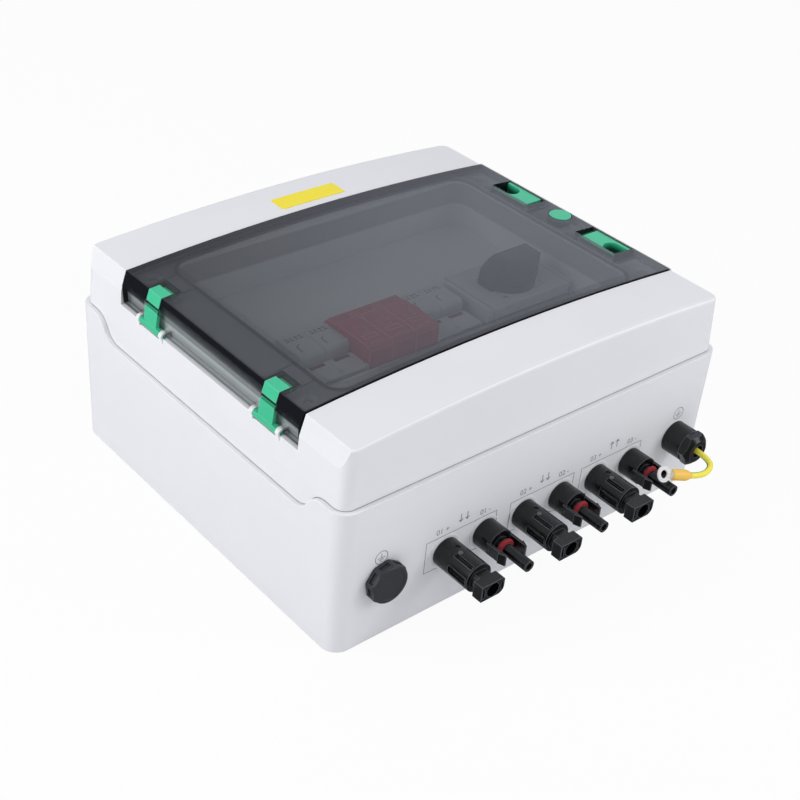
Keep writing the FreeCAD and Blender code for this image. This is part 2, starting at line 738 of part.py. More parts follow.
def base_rim():
    """Inward ledge at the top of the base that the cover's edge stands on."""
    half_x, half_y, radius = number(HALF_X), number(HALF_Y), number(S["case_corner"])
    top = number(SEAM) + 10
    low = number(GRIP_Z) - 20
    rings = []
    for inset in (number(S["case_wall"]) / 2, number(S["rim_width"])):
        rings.append(loft([(half_x - inset, half_y - inset, radius - inset, z) for z in (low, top)]))
    band = below_seam().cut(below_seam(-number(S["rim_height"])))
    return rings[0].cut(rings[1]).common(band)


def case_seal_shape():
    """The seal that follows the seam, half in the base and half in the cover."""
    inset = seal_inset()
    reach = inset + number(S["case_seal_width"])
    return seam_ring(inset, reach, number(S["case_seal_depth"]))


def seam_groove_shape():
    """The narrow shadow gap that shows between base and cover."""
    return seam_ring(-2.0, seal_inset(), number(S["seam_gap"]) / 2)


# Places along the walls

def port_places():
    """Axis positions of the sockets and the pins along the connector wall."""
    sockets = [S["port_first_x"] + S["port_pair_pitch"] * i for i in range(3)]
    pins = [x + S["port_in_pair"] for x in sockets]
    return sockets, pins


def wall_openings():
    """Every hole in the connector wall: name, x, height."""
    sockets, pins = port_places()
    ports = [("port_%d" % (i + 1), x, S["port_height"]) for i, x in enumerate(sockets + pins)]
    ports.append(("port_blank", BLANK_X, S["blank_height"]))
    ports.append(("port_gland", GLAND_X, S["gland_height"]))
    return ports


def four(x, y):
    """The four places at plus and minus x and y."""
    return [(sx * x, sy * y) for sx in (-1, 1) for sy in (-1, 1)]


# Base

def make_base(seal, groove):
    """Deep tray with posts for the cover screws and the rail, wall holes and port bosses."""
    floor = number(S["case_floor"])
    outside = base_form(0.0, 0.0).common(below_seam())
    inside = base_form(number(S["case_wall"]), floor)
    tray = feature("base_tray", outside.cut(inside).fuse(base_rim()).removeSplitter())
    port_face = -PORT_FACE
    inner_face = -HALF_Y + S["case_wall"]
    adds, holes = [], [seal, groove]
    for name, x, height in wall_openings():
        boss = rod(name + "_boss", S["port_boss_radius"], (x, port_face, height), 2.0, "y")
        hole = rod(name + "_hole", S["port_hole_radius"], (x, port_face - 1, height), 8.0, "y")
        adds.append(boss)
        holes.append(hole)
    for i, (x, y) in enumerate(four(SCREW_X, SCREW_Y)):
        post_length = SEAM - S["case_floor"] + 0.5
        post_start = S["case_floor"] - 0.5
        adds.append(rod("base_post_%d" % i, S["post_radius"], (x, y, post_start), post_length))
        depth = S["screw_bite"] + 1
        start = SEAM - depth
        holes.append(rod("base_pilot_%d" % i, S["screw_radius"], (x, y, start), depth + 1))
    for i, side in enumerate((-1, 1)):
        x = side * RAIL_SCREW_X
        start = S["case_floor"] - 0.5
        adds.append(rod("rail_post_%d" % i, 6.0, (x, S["row_y"], start), RAIL_BACK - start))
        holes.append(rod("rail_pilot_%d" % i, 1.7, (x, S["row_y"], RAIL_BACK - 12), 13.0))
    for i, (x, y) in enumerate(four(WALL_HOLE_X, WALL_HOLE_Y)):
        holes.append(rod("wall_hole_%d" % i, S["wall_hole_radius"], (x, y, -1), S["case_floor"] + 2))
    tray_with_posts = fuse("base_with_posts", tray, *adds)
    return cut("base_shell", tray_with_posts, *holes)


# Cover

def recess_zone(grow):
    """The space that the door takes out of the cover, or that space grown by a wall."""
    depth = number(S["recess_depth"]) + grow
    x, z, crown = crease_line(depth)
    side = number(HALF_X) - number(S["facet_inset"]) - number(S["side_recess"]) - grow
    foot = number(RECESS_FOOT) - grow
    bend = z - (side - x) * facet_slope()
    right = number(HALF_X) - number(S["crease_inset_x"]) + number(S["door_gap"])
    edge_fall = (right - x) * 2 * (crown - z) / x
    outline = [
        (-FAR, foot), (-side, foot), (-side, bend), (-x, z, 0.0, crown),
        (x, z), (right + grow, z - edge_fall), (right + grow, FAR), (-FAR, FAR),
    ]
    half = number(S["door_half"]) + number(S["door_gap"]) + grow
    return extruded(path_edges(outline, "XZ"), -half, half, "y")


def window_prism(grow, low, high):
    """The window's outline as a solid, grown outwards."""
    left = -number(WINDOW_LEFT) - grow
    right = number(WINDOW_RIGHT) + grow
    half = number(WINDOW_HALF) + grow
    radius = number(S["window_corner"]) + grow
    middle = (left + right) / 2
    shape = loft([((right - left) / 2, half, radius, z) for z in (low, high)])
    shape.translate(Vector(middle, 0, 0))
    return shape


def front_band(top_inset, bottom_inset):
    """A layer that follows the arched front between two depths below it."""
    low = number(GRIP_Z) - 20
    upper = extruded(path_edges(front_profile(top_inset, low), "XZ"), -FAR, FAR, "y")
    lower = extruded(path_edges(front_profile(bottom_inset, low), "XZ"), -FAR, FAR, "y")
    return upper.cut(lower)


def door_seal_shape():
    """Seal round the window, seated in a groove of the recess floor."""
    inner = number(S["door_seal_offset"])
    outer = inner + number(S["door_seal_width"])
    low, high = number(SEAM), number(CREASE) + 20
    ring = window_prism(outer, low, high).cut(window_prism(inner, low, high))
    depth = number(S["recess_depth"])
    band = front_band(depth - number(S["door_seal_proud"]), depth + number(S["door_seal_seat"]))
    return ring.common(band)


def pocket_shape(grow):
    """The well in the cover for the latch boxes and the lock plug."""
    left = number(POCKET_LEFT) - grow
    right = number(HALF_X) - number(S["crease_inset_x"]) + number(S["door_gap"]) + grow
    half = number(POCKET_HALF) + grow
    floor = number(POCKET_FLOOR) - grow
    return Part.makeBox(right - left, 2 * half, 60, Vector(left, -half, floor))


def panel_slot():
    """The slot of the inner panel that the devices look through."""
    gap = number(S["slot_clearance"])
    left = number(S["row_left"]) - gap
    right = number(ISOLATOR_LEFT) + number(S["isolator_width"]) + gap
    half = number(S["nose_half"]) + gap
    low = number(PANEL) - number(S["panel_skin"]) - 5
    return Part.makeBox(right - left, 2 * half, 10, Vector(left, number(S["row_y"]) - half, low))


def hinge_wells(grow=0.0):
    """Room in the recess for the feet of the hinge arms, or that room grown by a wall."""
    wells = []
    half = number(S["hinge_foot_width"]) / 2 + number(S["hinge_clearance"]) + grow
    for side in (-1, 1):
        y = number(HINGE_Y[side])
        low = number(PIVOT_Z) - number(S["knuckle_radius"]) - 1.0 - grow
        reach = number(S["knuckle_radius"]) + 0.5 + grow
        x = number(PIVOT_X)
        length = number(HALF_X) + 5 + x + reach
        height = number(RECESS_FOOT) - low + 2
        wells.append(Part.makeBox(length, 2 * half, height, Vector(x + reach - length, y - half, low)))
    return wells


def make_lugs():
    """White lugs that carry the hinge pins, two beside each hinge foot."""
    lugs, bores = [], []
    x, z = PIVOT_X, PIVOT_Z
    radius = S["hinge_pin_radius"] + S["hinge_pin_clearance"]
    half = S["hinge_foot_width"] / 2
    root = -HALF_X + S["facet_inset"] + S["side_recess"] + 1.0
    top = z + S["lug_radius"]
    for i, side in enumerate((-1, 1)):
        centre = HINGE_Y[side]
        for j, end in enumerate((-1, 1)):
            inner = centre + end * (half + S["hinge_clearance"] / 2)
            outer = inner + end * S["lug_width"]
            low_y, high_y = (inner, outer) if end > 0 else (outer, inner)
            name = "lug_%d%d" % (i, j)
            rest = block(name + "_root", (x, low_y, z - 4.0), (root, high_y, top))
            front = rod(name + "_nose", S["lug_radius"], (x, low_y, z), S["lug_width"], "y")
            foot = block(name + "_foot", (x - 2.2, low_y, z - 4.0), (x, high_y, z))
            lugs.append(fuse(name, rest, front, foot))
            bores.append(rod(name + "_bore", radius, (x, low_y - 0.5, z), S["lug_width"] + 1, "y"))
    return lugs, bores


def make_cover(case_seal, groove, door_seal):
    """Front half: arched top, door recess, window well with inner panel, latch pocket, screw bosses."""
    skin = number(S["case_wall"])
    panel_skin = number(S["panel_skin"])
    panel = number(PANEL)
    outside = lower_bands(cover_form(0.0)).cut(below_seam())
    inside = cover_form(skin)
    well = window_prism(panel_skin, panel - panel_skin, panel + 60)
    keep = recess_zone(skin).fuse([well, pocket_shape(skin)] + hinge_wells(skin))
    shell = outside.cut(inside.cut(keep))
    opening = window_prism(0.0, panel, panel + 60)
    shell = shell.cut([recess_zone(0.0), opening, pocket_shape(0.0), panel_slot()] + hinge_wells())
    body = feature("cover_body", shell)
    lugs, bores = make_lugs()
    adds, holes = list(lugs), list(bores) + [case_seal, groove, door_seal]
    for i, (x, y) in enumerate(four(SCREW_X, SCREW_Y)):
        low = SEAM
        high = CREASE - S["recess_depth"] - 1.0
        adds.append(rod("cover_boss_%d" % i, S["post_radius"], (x, y, low), high - low))
        holes.append(rod("cover_bore_%d" % i, S["screw_radius"] + 0.2, (x, y, low - 1), 60.0))
        head = S["screw_head_radius"] + 0.3
        holes.append(rod("cover_seat_%d" % i, head, (x, y, SCREW_SEAT), 30.0))
    for name, side in (("catch_far", 1), ("catch_near", -1)):
        housing, rooms = make_catch(name, side)
        adds.append(housing)
        holes += rooms
    return cut("front_cover", fuse("cover_with_bosses", body, *adds), *holes)


def mirrored_block(name, side, low, high):
    """A block on the far side (+Y) or its mirror image on the near side."""
    if side < 0:
        low, high = (low[0], -size_of(high[1]), low[2]), (high[0], -size_of(low[1]), high[2])
    return block(name, low, high)


def make_catch(name, side):
    """Blind housing under the latch pocket, with the ledge that the hook's lip goes under."""
    half = S["hook_width"] / 2 + S["hook_clearance"]
    left, right = LATCH_MIDDLE - half, LATCH_MIDDLE + half
    inner = HOOK_Y - S["hook_leg"] / 2 - S["latch_travel"] - S["hook_clearance"]
    ledge = HOOK_Y + S["hook_leg"] / 2 + S["hook_clearance"]
    reach = ledge + S["hook_grip"] + S["hook_clearance"]
    under = POCKET_FLOOR - S["case_wall"]
    floor = HOOK_TOP - S["hook_lip"] - S["hook_clearance"]
    skin = S["latch_box_skin"]
    low = (left - skin, inner - skin, floor - skin)
    housing = mirrored_block(name + "_housing", side, low, (right + skin, reach + skin, under + 1))
    neck = mirrored_block(name + "_neck", side, (left, inner, floor), (right, ledge, POCKET_FLOOR + 1))
    room = mirrored_block(name + "_room", side, (left, inner, floor), (right, reach, under))
    return housing, [neck, room]


# Door

def door_zone():
    """The door's sheet: arched front, slanted facet and the wrap down the hinge end."""
    skin = number(S["door_skin"])
    x, z, crown = crease_line(0.0)
    in_x, in_z, in_crown = crease_line(skin)
    side = number(HALF_X) - number(S["facet_inset"])
    facet = number(FACET_Z)
    foot = number(DOOR_FOOT)
    lean = number(S["wrap_lean"])
    inner_side = side - skin
    inner_bend = in_z - (inner_side - in_x) * facet_slope()
    outline = [
        (-side + lean, foot), (-inner_side + lean, foot), (-inner_side, inner_bend),
        (-in_x, in_z, 0.0, in_crown), (in_x, in_z), (x, in_z - 0.3), (x, z, 0.0, crown), (-x, z),
        (-side, facet),
    ]
    half = number(S["door_half"])
    return extruded(path_edges(outline, "XZ"), -half, half, "y")


def make_latch_box(side):
    """Box under the door that the latch slides in."""
    name = "latch_box_%s" % ("far" if side > 0 else "near")
    skin = S["latch_box_skin"]
    inner = S["latch_inner"] - S["latch_travel"] - S["latch_tongue"] - skin
    low = (LATCH_LEFT - skin, inner, LATCH_BOX_FLOOR)
    return mirrored_block(name, side, low, (LATCH_RIGHT, S["latch_outer"] + skin, DOOR_UNDER + 0.4))


def make_latch_room(side):
    """The space inside the latch box, the slot in the door's front and the hook's way out."""
    name = "latch_room_%s" % ("far" if side > 0 else "near")
    outer = S["latch_outer"]
    inner = S["latch_inner"] - S["latch_travel"] - S["latch_tongue"]
    lower = mirrored_block(name + "_lower", side, (LATCH_LEFT, inner, LATCH_FLOOR), (LATCH_RIGHT, outer, DOOR_UNDER))
    slot_low = (LATCH_LEFT, S["latch_inner"], LATCH_FLOOR)
    slot = mirrored_block(name + "_slot", side, slot_low, (LATCH_RIGHT, outer, CREASE + 9))
    half = S["hook_width"] / 2 + S["hook_clearance"]
    hook_in = HOOK_Y - S["hook_leg"] / 2 - S["latch_travel"] - S["hook_clearance"]
    hook_out = HOOK_Y + S["hook_leg"] / 2 + S["hook_grip"] + S["hook_clearance"] * 2
    hook_low = (LATCH_MIDDLE - half, hook_in, LATCH_BOX_FLOOR - 1)
    hook = mirrored_block(name + "_hook", side, hook_low, (LATCH_MIDDLE + half, hook_out, LATCH_FLOOR + 1))
    return [lower, slot, hook]


def make_door():
    """Smoked door with hinge notches, latch slots and boxes, and the seat of the lock plug."""
    sheet = feature("door_sheet", door_zone())
    adds = [make_latch_box(side) for side in (-1, 1)]
    seat_low = CREASE - S["door_skin"] - 1.6
    adds.append(rod("plug_boss", S["plug_boss_radius"], (PLUG_X, S["plug_y"], seat_low), 2.4))
    cuts = []
    for side in (-1, 1):
        cuts += make_latch_room(side)
    head_z = CREASE - 1.7
    cuts.append(rod("plug_seat", S["plug_radius"] + 0.25, (PLUG_X, S["plug_y"], head_z), 12.0))
    cuts.append(rod("plug_hole", 4.25, (PLUG_X, S["plug_y"], seat_low - 1), 12.0))
    crease = -HALF_X + S["crease_inset_x"]
    for side in (-1, 1):
        name = "notch_%s" % ("far" if side > 0 else "near")
        y = HINGE_Y[side]
        half = S["hinge_width"] / 2 + S["hinge_clearance"]
        upper_low = (-HALF_X - 2, y - half, BAR_HIGH)
        upper_high = (crease + S["notch_reach"], y + half, CREASE + 8)
        lower_low = (-HALF_X - 2, y - half, DOOR_FOOT - 1)
        lower_high = (-HALF_X + 12, y + half, BAR_LOW)
        foot_half = S["hinge_foot_width"] / 2 + S["lug_width"] + 0.8
        foot_low = (-HALF_X - 2, y - foot_half, DOOR_FOOT - 1)
        foot_high = (-HALF_X + 12, y + foot_half, PIVOT_Z + S["lug_radius"] + 1.2)
        cuts.append(block(name + "_upper", upper_low, upper_high))
        cuts.append(block(name + "_lower", lower_low, lower_high))
        cuts.append(block(name + "_foot", foot_low, foot_high))
        behind = prism(name + "_behind", "XZ", bar_back(), y - half, y + half)
        cuts.append(behind)
    return cut("door", fuse("door_with_boxes", sheet, *adds), *cuts)


def facet_x(height, inset=0.0):
    """X of the slanted hinge-end facet at a height, set inwards by a horizontal inset."""
    run = S["crease_inset_x"] - S["facet_inset"]
    rise = CREASE - FACET_Z
    crease = -HALF_X + S["crease_inset_x"]
    return crease - (CREASE - height) * run / rise + inset


def bar_back():
    """Room behind the door's bar, where the hinge arm passes."""
    low, high = BAR_LOW - 0.5, BAR_HIGH + 0.5
    skin = 1.8
    return [
        (facet_x(low, skin), low), (facet_x(low, skin + 4), low),
        (facet_x(high, skin + 4), high), (facet_x(high, skin), high),
    ]


# Hinge arms

def hinge_outline():
    """Side view of the green arm: flange on the front with a lower tongue, bend over the crease,
    behind the bar, and the strap down to the foot."""
    crease_x = -HALF_X + S["crease_inset_x"]
    skin = S["hinge_skin"]
    end_x = crease_x + S["hinge_reach"]
    tongue_x = crease_x + S["hinge_tongue"]
    high = BAR_HIGH + 0.35
    low = STRAP_TOP
    back = 2.0
    face = -HALF_X + S["facet_inset"]
    foot = PIVOT_X - S["knuckle_radius"] + 0.5
    return [
        (end_x, CREASE + 0.5), (crease_x, CREASE), (facet_x(high), high), (facet_x(high, back), high),
        (facet_x(low, back), low), (face, low), (foot, PIVOT_Z + 1.0), (foot + skin, PIVOT_Z),
        (face + skin + 0.2, FACET_Z - 2.0), (facet_x(low, back + skin - 0.4), low - 0.4),
        (facet_x(high, back + skin - 0.4), high - 0.4), (crease_x + skin / 2, CREASE - skin),
        (end_x - 1.0, CREASE - 3.0), (tongue_x, CREASE - 3.0), (tongue_x, CREASE - 2.2),
        (end_x, CREASE - 2.2),
    ]


def make_hinge(name, side):
    """One green hinge arm with its wide flat foot and the pins that turn in the lugs."""
    y = HINGE_Y[side]
    half = S["hinge_width"] / 2
    foot_half = S["hinge_foot_width"] / 2
    x, z = PIVOT_X, PIVOT_Z
    radius = S["knuckle_radius"]
    strap = prism(name + "_strap", "XZ", hinge_outline(), y - half, y + half)
    knuckle = rod(name + "_knuckle", radius, (x, y - foot_half, z), foot_half * 2, "y")
    plate = block(name + "_plate", (x - radius, y - foot_half, z - 1.2), (x, y + foot_half, z + radius))
    reach = foot_half + S["hinge_pin_reach"]
    pin = rod(name + "_pin", S["hinge_pin_radius"], (x, y - reach, z), reach * 2, "y")
    return fuse(name, strap, knuckle, plate, pin)


# Latches and lock plug

def make_latch(name, side):
    """Sliding latch: thumb recess in front, tongue under the door's skin, hook behind."""
    gap = S["latch_clearance"]
    left, right = LATCH_LEFT + gap, LATCH_RIGHT - gap
    bottom = LATCH_FLOOR + gap
    shoulder = S["latch_inner"] + S["latch_travel"] + gap
    outer = S["latch_outer"] - gap
    tongue = S["latch_inner"] - S["latch_tongue"] + gap
    ceiling = DOOR_UNDER - gap
    half = S["hook_width"] / 2
    leg_in, leg_out = HOOK_Y - S["hook_leg"] / 2, HOOK_Y + S["hook_leg"] / 2
    lip_out = leg_out + S["hook_clearance"] + S["hook_grip"]
    lip_low = HOOK_TOP - S["hook_lip"]
    spans = [
        ("block", (left, shoulder, bottom), (right, outer, LATCH_FRONT)),
        ("tongue", (left, tongue, bottom), (right, shoulder + 1, ceiling)),
        ("leg", (LATCH_MIDDLE - half, leg_in, lip_low), (LATCH_MIDDLE + half, leg_out, bottom + 1)),
        ("lip", (LATCH_MIDDLE - half, leg_in, lip_low), (LATCH_MIDDLE + half, lip_out, HOOK_TOP)),
    ]
    solid = fuse(name + "_solid", *[mirrored_block(name + "_" + part, side, low, high) for part, low, high in spans])
    radius = S["thumb_radius"]
    apex = outer - S["thumb_run"]
    thumb_floor = LATCH_FRONT - S["thumb_depth"]
    well = rod(name + "_thumb", radius, (LATCH_MIDDLE, side * apex, thumb_floor), S["thumb_depth"] + 2)
    run_low = (LATCH_MIDDLE - radius, apex, thumb_floor)
    run_high = (LATCH_MIDDLE + radius, outer + 1.0, LATCH_FRONT + 2)
    run = mirrored_block(name + "_thumb_run", side, run_low, run_high)
    return cut(name, solid, well, run)


def make_lock_plug():
    """Push-in plug over the lock hole of the door."""
    head_z = CREASE - 1.7
    place_xy = (PLUG_X, S["plug_y"])
    head = rod("lock_plug_head", S["plug_radius"], place_xy + (head_z,), 2.5)
    stem = rod("lock_plug_stem", 4.0, place_xy + (head_z - 5.0,), 5.5)
    barb = cone("lock_plug_barb", 3.4, 4.9, place_xy + (head_z - 6.4,), 2.6)
    return fuse("lock_plug", head, stem, barb)


# Fasteners

def make_cover_screws():
    """Four long captive screws under the door."""
    screws = []
    for i, (x, y) in enumerate(four(SCREW_X, SCREW_Y)):
        name = "cover_screw_%d" % (i + 1)
        tip = SEAM - S["screw_bite"]
        shank = rod(name + "_shank", S["screw_radius"], (x, y, tip), SCREW_SEAT - tip)
        head = rod(name + "_head", S["screw_head_radius"], (x, y, SCREW_SEAT), 3.4)
        slot_z = SCREW_SEAT + 2.0
        across = block(name + "_slot_a", (x - 2.6, y - 0.5, slot_z), (x + 2.6, y + 0.5, slot_z + 3))
        upright = block(name + "_slot_b", (x - 0.5, y - 2.6, slot_z), (x + 0.5, y + 2.6, slot_z + 3))
        screws.append(cut(name, fuse(name + "_body", shank, head), across, upright))
    return group("cover_screws", *screws)


def make_rail_screws():
    """Two pan-head screws that hold the rail on its posts."""
    screws = []
    back = RAIL_BACK
    for i, side in enumerate((-1, 1)):
        name = "rail_screw_%d" % (i + 1)
        x = side * RAIL_SCREW_X
        head_z = back + S["rail_gauge"]
        shank = rod(name + "_shank", 1.7, (x, S["row_y"], back - 10), S["rail_gauge"] + 10)
        head = rod(name + "_head", 4.2, (x, S["row_y"], head_z), 2.4)
        slot = block(name + "_slot", (x - 3, S["row_y"] - 0.5, head_z + 1.4), (x + 3, S["row_y"] + 0.5, head_z + 4))
        screws.append(cut(name, fuse(name + "_body", shank, head), slot))
    return group("rail_screws", *screws)


# Rail and devices

def make_rail():
    """Top-hat rail with a row of slots."""
    y, front, gauge = S["row_y"], S["rail_front"], S["rail_gauge"]
    back = front - S["rail_height"]
    half, base = S["rail_width"] / 2, S["rail_base_width"] / 2
    outline = [
        (y - half, front), (y - half, front - gauge), (y - base, front - gauge), (y - base, back),
        (y + base, back), (y + base, front - gauge), (y + half, front - gauge), (y + half, front),
        (y + base - gauge, front), (y + base - gauge, back + gauge),
        (y - base + gauge, back + gauge), (y - base + gauge, front),
    ]
    length = RAIL_HALF
    hat = prism("rail_hat", "YZ", outline, -length, length)
    slots = []
    for i in range(-4, 5):
        x = i * 20.0
        slots.append(block("rail_slot_%d" % (i + 5), (x - 6, y - 3, back - 1), (x + 6, y + 3, back + 3)))
    for i, side in enumerate((-1, 1)):
        slots.append(rod("rail_hole_%d" % i, 1.9, (side * RAIL_SCREW_X, y, back - 1), 4.0))
    return cut("din_rail", hat, *slots)


def foot_outline(y, reach=S["device_half"]):
    """The underside of a device, with the hooks that hold the rail's edges."""
    low = S["rail_front"] - S["hook_depth"]
    lip = S["rail_front"] - S["rail_gauge"] - 0.3
    half = S["rail_width"] / 2 + 0.3
    grip = half - 1.8
    return [
        (y - reach, low), (y - grip, low), (y - grip, lip), (y - half, lip), (y - half, S["rail_front"]),
        (y + half, S["rail_front"]), (y + half, lip), (y + grip, lip), (y + grip, low), (y + reach, low),
    ]


def make_end_stops():
    """Two clamps that keep the row of devices in place along the rail."""
    y, height = S["row_y"], S["rail_front"] + S["stop_rise"]
    outline = foot_outline(y, S["stop_half"]) + [
        (y + S["stop_half"], height - S["stop_fall"]), (y + 12, height), (y - 12, height),
        (y - S["stop_half"], height - S["stop_fall"]),
    ]
    gap = S["module_gap"] / 2
    starts = (S["row_left"] - gap - S["stop_width"], ISOLATOR_LEFT + S["isolator_width"] + gap)
    stops = []
    for i, start in enumerate(starts, start=1):
        profile = prism("end_stop_profile_%d" % i, "YZ", outline, start, start + S["stop_width"])
        middle = start + S["stop_width"] / 2
        depth = S["stop_hole_depth"]
        hole = rod("end_stop_hole_%d" % i, 1.8, (middle, y, height - depth), depth + 1)
        stops.append(cut("end_stop_%d" % i, profile, hole))
    return group("end_stops", *stops)


def device_span(first, modules):
    """X range of a device that starts at a module number of the row."""
    left = S["row_left"] + S["module_pitch"] * first
    gap = S["module_gap"] / 2
    return left + gap, left + S["module_pitch"] * modules - gap


def make_fuse_base(name, first):
    """Fuse holder body: rail foot, shoulders, and a nose with the drawer's cavity and ears."""
    y = S["row_y"]
    shoulder, reach, nose = SHOULDER, S["device_half"], S["nose_half"]
    panel = PANEL
    outline = foot_outline(y) + [
        (y + reach, shoulder), (y + nose, shoulder), (y + nose, panel),
        (y - nose, panel), (y - nose, shoulder), (y - reach, shoulder),
    ]
    left, right = device_span(first, 1)
    body = prism(name + "_profile", "YZ", outline, left, right)
    ear_low = y + S["drawer_pivot_y"] - 1.4
    ear_high = y + S["drawer_pivot_y"] + 1.6
    ear_top = DRAWER_PIVOT + 1.3
    ears = [
        block(name + "_ear_left", (left, ear_low, panel - 1), (left + 1.5, ear_high, ear_top)),
        block(name + "_ear_right", (right - 1.5, ear_low, panel - 1), (right, ear_high, ear_top)),
    ]
    cavity_low = FUSE_Z - S["fuse_radius"] - 2.4
    cavity = block(
        name + "_cavity",
        (left + 1.6, y - nose + S["cavity_back"], cavity_low),
        (right - 1.6, y + nose - S["cavity_wall"], panel + 1),
    )
    pivot = (left - 1, y + S["drawer_pivot_y"], DRAWER_PIVOT)
    pin_hole = rod(name + "_pivot", 0.86, pivot, right - left + 2, "x")
    terminals = []
    for end, sign in (("low", -1), ("high", 1)):
        place_z = shoulder - 8
        at = ((left + right) / 2, y + sign * (reach - 9), place_z)
        terminals.append(rod("%s_terminal_%s" % (name, end), 2.6, at, 9.0))
    return cut(name, fuse(name + "_body", body, *ears), cavity, pin_hole, *terminals)


def make_fuse_drawer(name, first):
    """Drawer: knuckle and pin, flat lower front, raised rounded grip, and the link's carriage."""
    y = S["row_y"]
    left, right = device_span(first, 1)
    base = PANEL + 0.3
    flat, lip = DRAWER_FLAT, DRAWER_LIP
    start = y + S["drawer_pivot_y"]
    step = y - 3.6
    end = y + S["nose_half"]
    outline = [
        (start, base), (end, base), (end, lip - 3.2, end - 0.9, lip - 0.9), (end - 3.2, lip),
        (step + 3.0, lip, step + 0.8, lip - 1.0), (step, lip - 3.4), (step, flat - 1.0),
        (step - 1.8, flat - 1.0), (step - 1.8, flat), (start, flat),
    ]
    front = prism(name + "_front", "YZ", outline, left, right)
    pivot_z = DRAWER_PIVOT
    knuckle = rod(name + "_knuckle", 1.3, (left, start, pivot_z), right - left, "x")
    pin = rod(name + "_pin", 0.8, (left, start, pivot_z), right - left, "x")
    notches = [
        block(name + "_notch_left", (left - 1, start - 3, base - 1), (left + 1.8, start + 2.2, flat + 1)),
        block(name + "_notch_right", (right - 1.8, start - 3, base - 1), (right + 1, start + 2.2, flat + 1)),
    ]
    outer = cut(name + "_face", fuse(name + "_plate", front, knuckle), *notches)
    carriage_low = FUSE_Z - 2.4
    carriage_end = y + S["nose_half"] - 4.6
    carriage = block(
        name + "_carriage_block",
        (left + 1.9, start + 2.4, carriage_low),
        (right - 1.9, carriage_end, base + 0.5),
    )
    middle = (left + right) / 2
    link_start = y - S["fuse_length"] / 2 - 0.3
    bed = rod(
        name + "_bed", S["fuse_radius"] + 0.2,
        (middle, link_start, FUSE_Z), S["fuse_length"] + 0.6, "y",
    )
    return fuse(name, outer, pin, cut(name + "_carriage", carriage, bed))


def make_fuse_link(name, first):
    """Cylindrical fuse link with a cap at each end, clipped in the drawer."""
    left, right = device_span(first, 1)
    middle = (left + right) / 2
    half = S["fuse_length"] / 2
    cap = 9.0
    tube = S["fuse_radius"] - 0.35
    outline = [
        (0, -half), (S["fuse_radius"], -half), (S["fuse_radius"], -half + cap), (tube, -half + cap),
        (tube, half - cap), (S["fuse_radius"], half - cap), (S["fuse_radius"], half), (0, half),
    ]
    return turned(name, outline, (middle, S["row_y"], FUSE_Z), "y")


def make_surge_base():
    """Three-module base that the surge cartridges plug into."""
    y = S["row_y"]
    shoulder, reach = SHOULDER, S["device_half"]
    well = S["nose_half"] + 0.4
    floor = SHOULDER - 24
    outline = foot_outline(y) + [
        (y + reach, shoulder), (y + well, shoulder), (y + well, floor),
        (y - well, floor), (y - well, shoulder), (y - reach, shoulder),
    ]
    left, right = device_span(2, 3)
    body = prism("surge_base_profile", "YZ", outline, left, right)
    holes = []
    for i in range(3):
        x = left + S["module_pitch"] * (i + 0.5)
        for sign in (-1, 1):
            at = (x, y + sign * (reach - 9), shoulder - 8)
            holes.append(rod("surge_terminal_%d%s" % (i, "ab"[sign > 0]), 2.6, at, 9.0))
            at = (x, y + sign * 12.0, floor - 8)
            holes.append(block("surge_contact_%d%s" % (i, "ab"[sign > 0]),
                               (x - 3, at[1] - 1, floor - 8), (x + 3, at[1] + 1, floor + 1)))
    return cut("surge_base", body, *holes)


def make_cartridge(name, first):
    """Plug-in surge cartridge with chamfered front, finger ribs and two blades."""
    y = S["row_y"]
    left, right = device_span(first, 1)
    floor = SHOULDER - 24
    front, nose = CARTRIDGE_FRONT, S["nose_half"]
    outline = [
        (y - nose, floor), (y + nose, floor), (y + nose, front - 4.5), (y + nose - 2.5, front - 1.2),
        (y + nose - 11, front - 1.2), (y + nose - 12, front), (y - nose + 2.5, front), (y - nose, front - 2.5),
    ]
    body = prism(name + "_profile", "YZ", outline, left, right)
    window = block(name + "_window", (left + 5.5, y - 6, front - 0.8), (right - 5.5, y + 1, front + 1))
    grip = block(name + "_grip", (left + 3, y + nose - 9.5, front - 2.2), (right - 3, y + nose - 4.5, front))
    middle = (left + right) / 2
    blades = []
    for sign in (-1, 1):
        at = y + sign * 12.0
        blades.append(block(name + "_blade_%s" % "ab"[sign > 0], (middle - 2.6, at - 0.6, floor - 7),
                            (middle + 2.6, at + 0.6, floor + 0.5)))
    return cut(name, fuse(name + "_body", body, *blades), window, grip)


def isolator_centre():
    return ISOLATOR_LEFT + S["isolator_width"] / 2, S["row_y"]


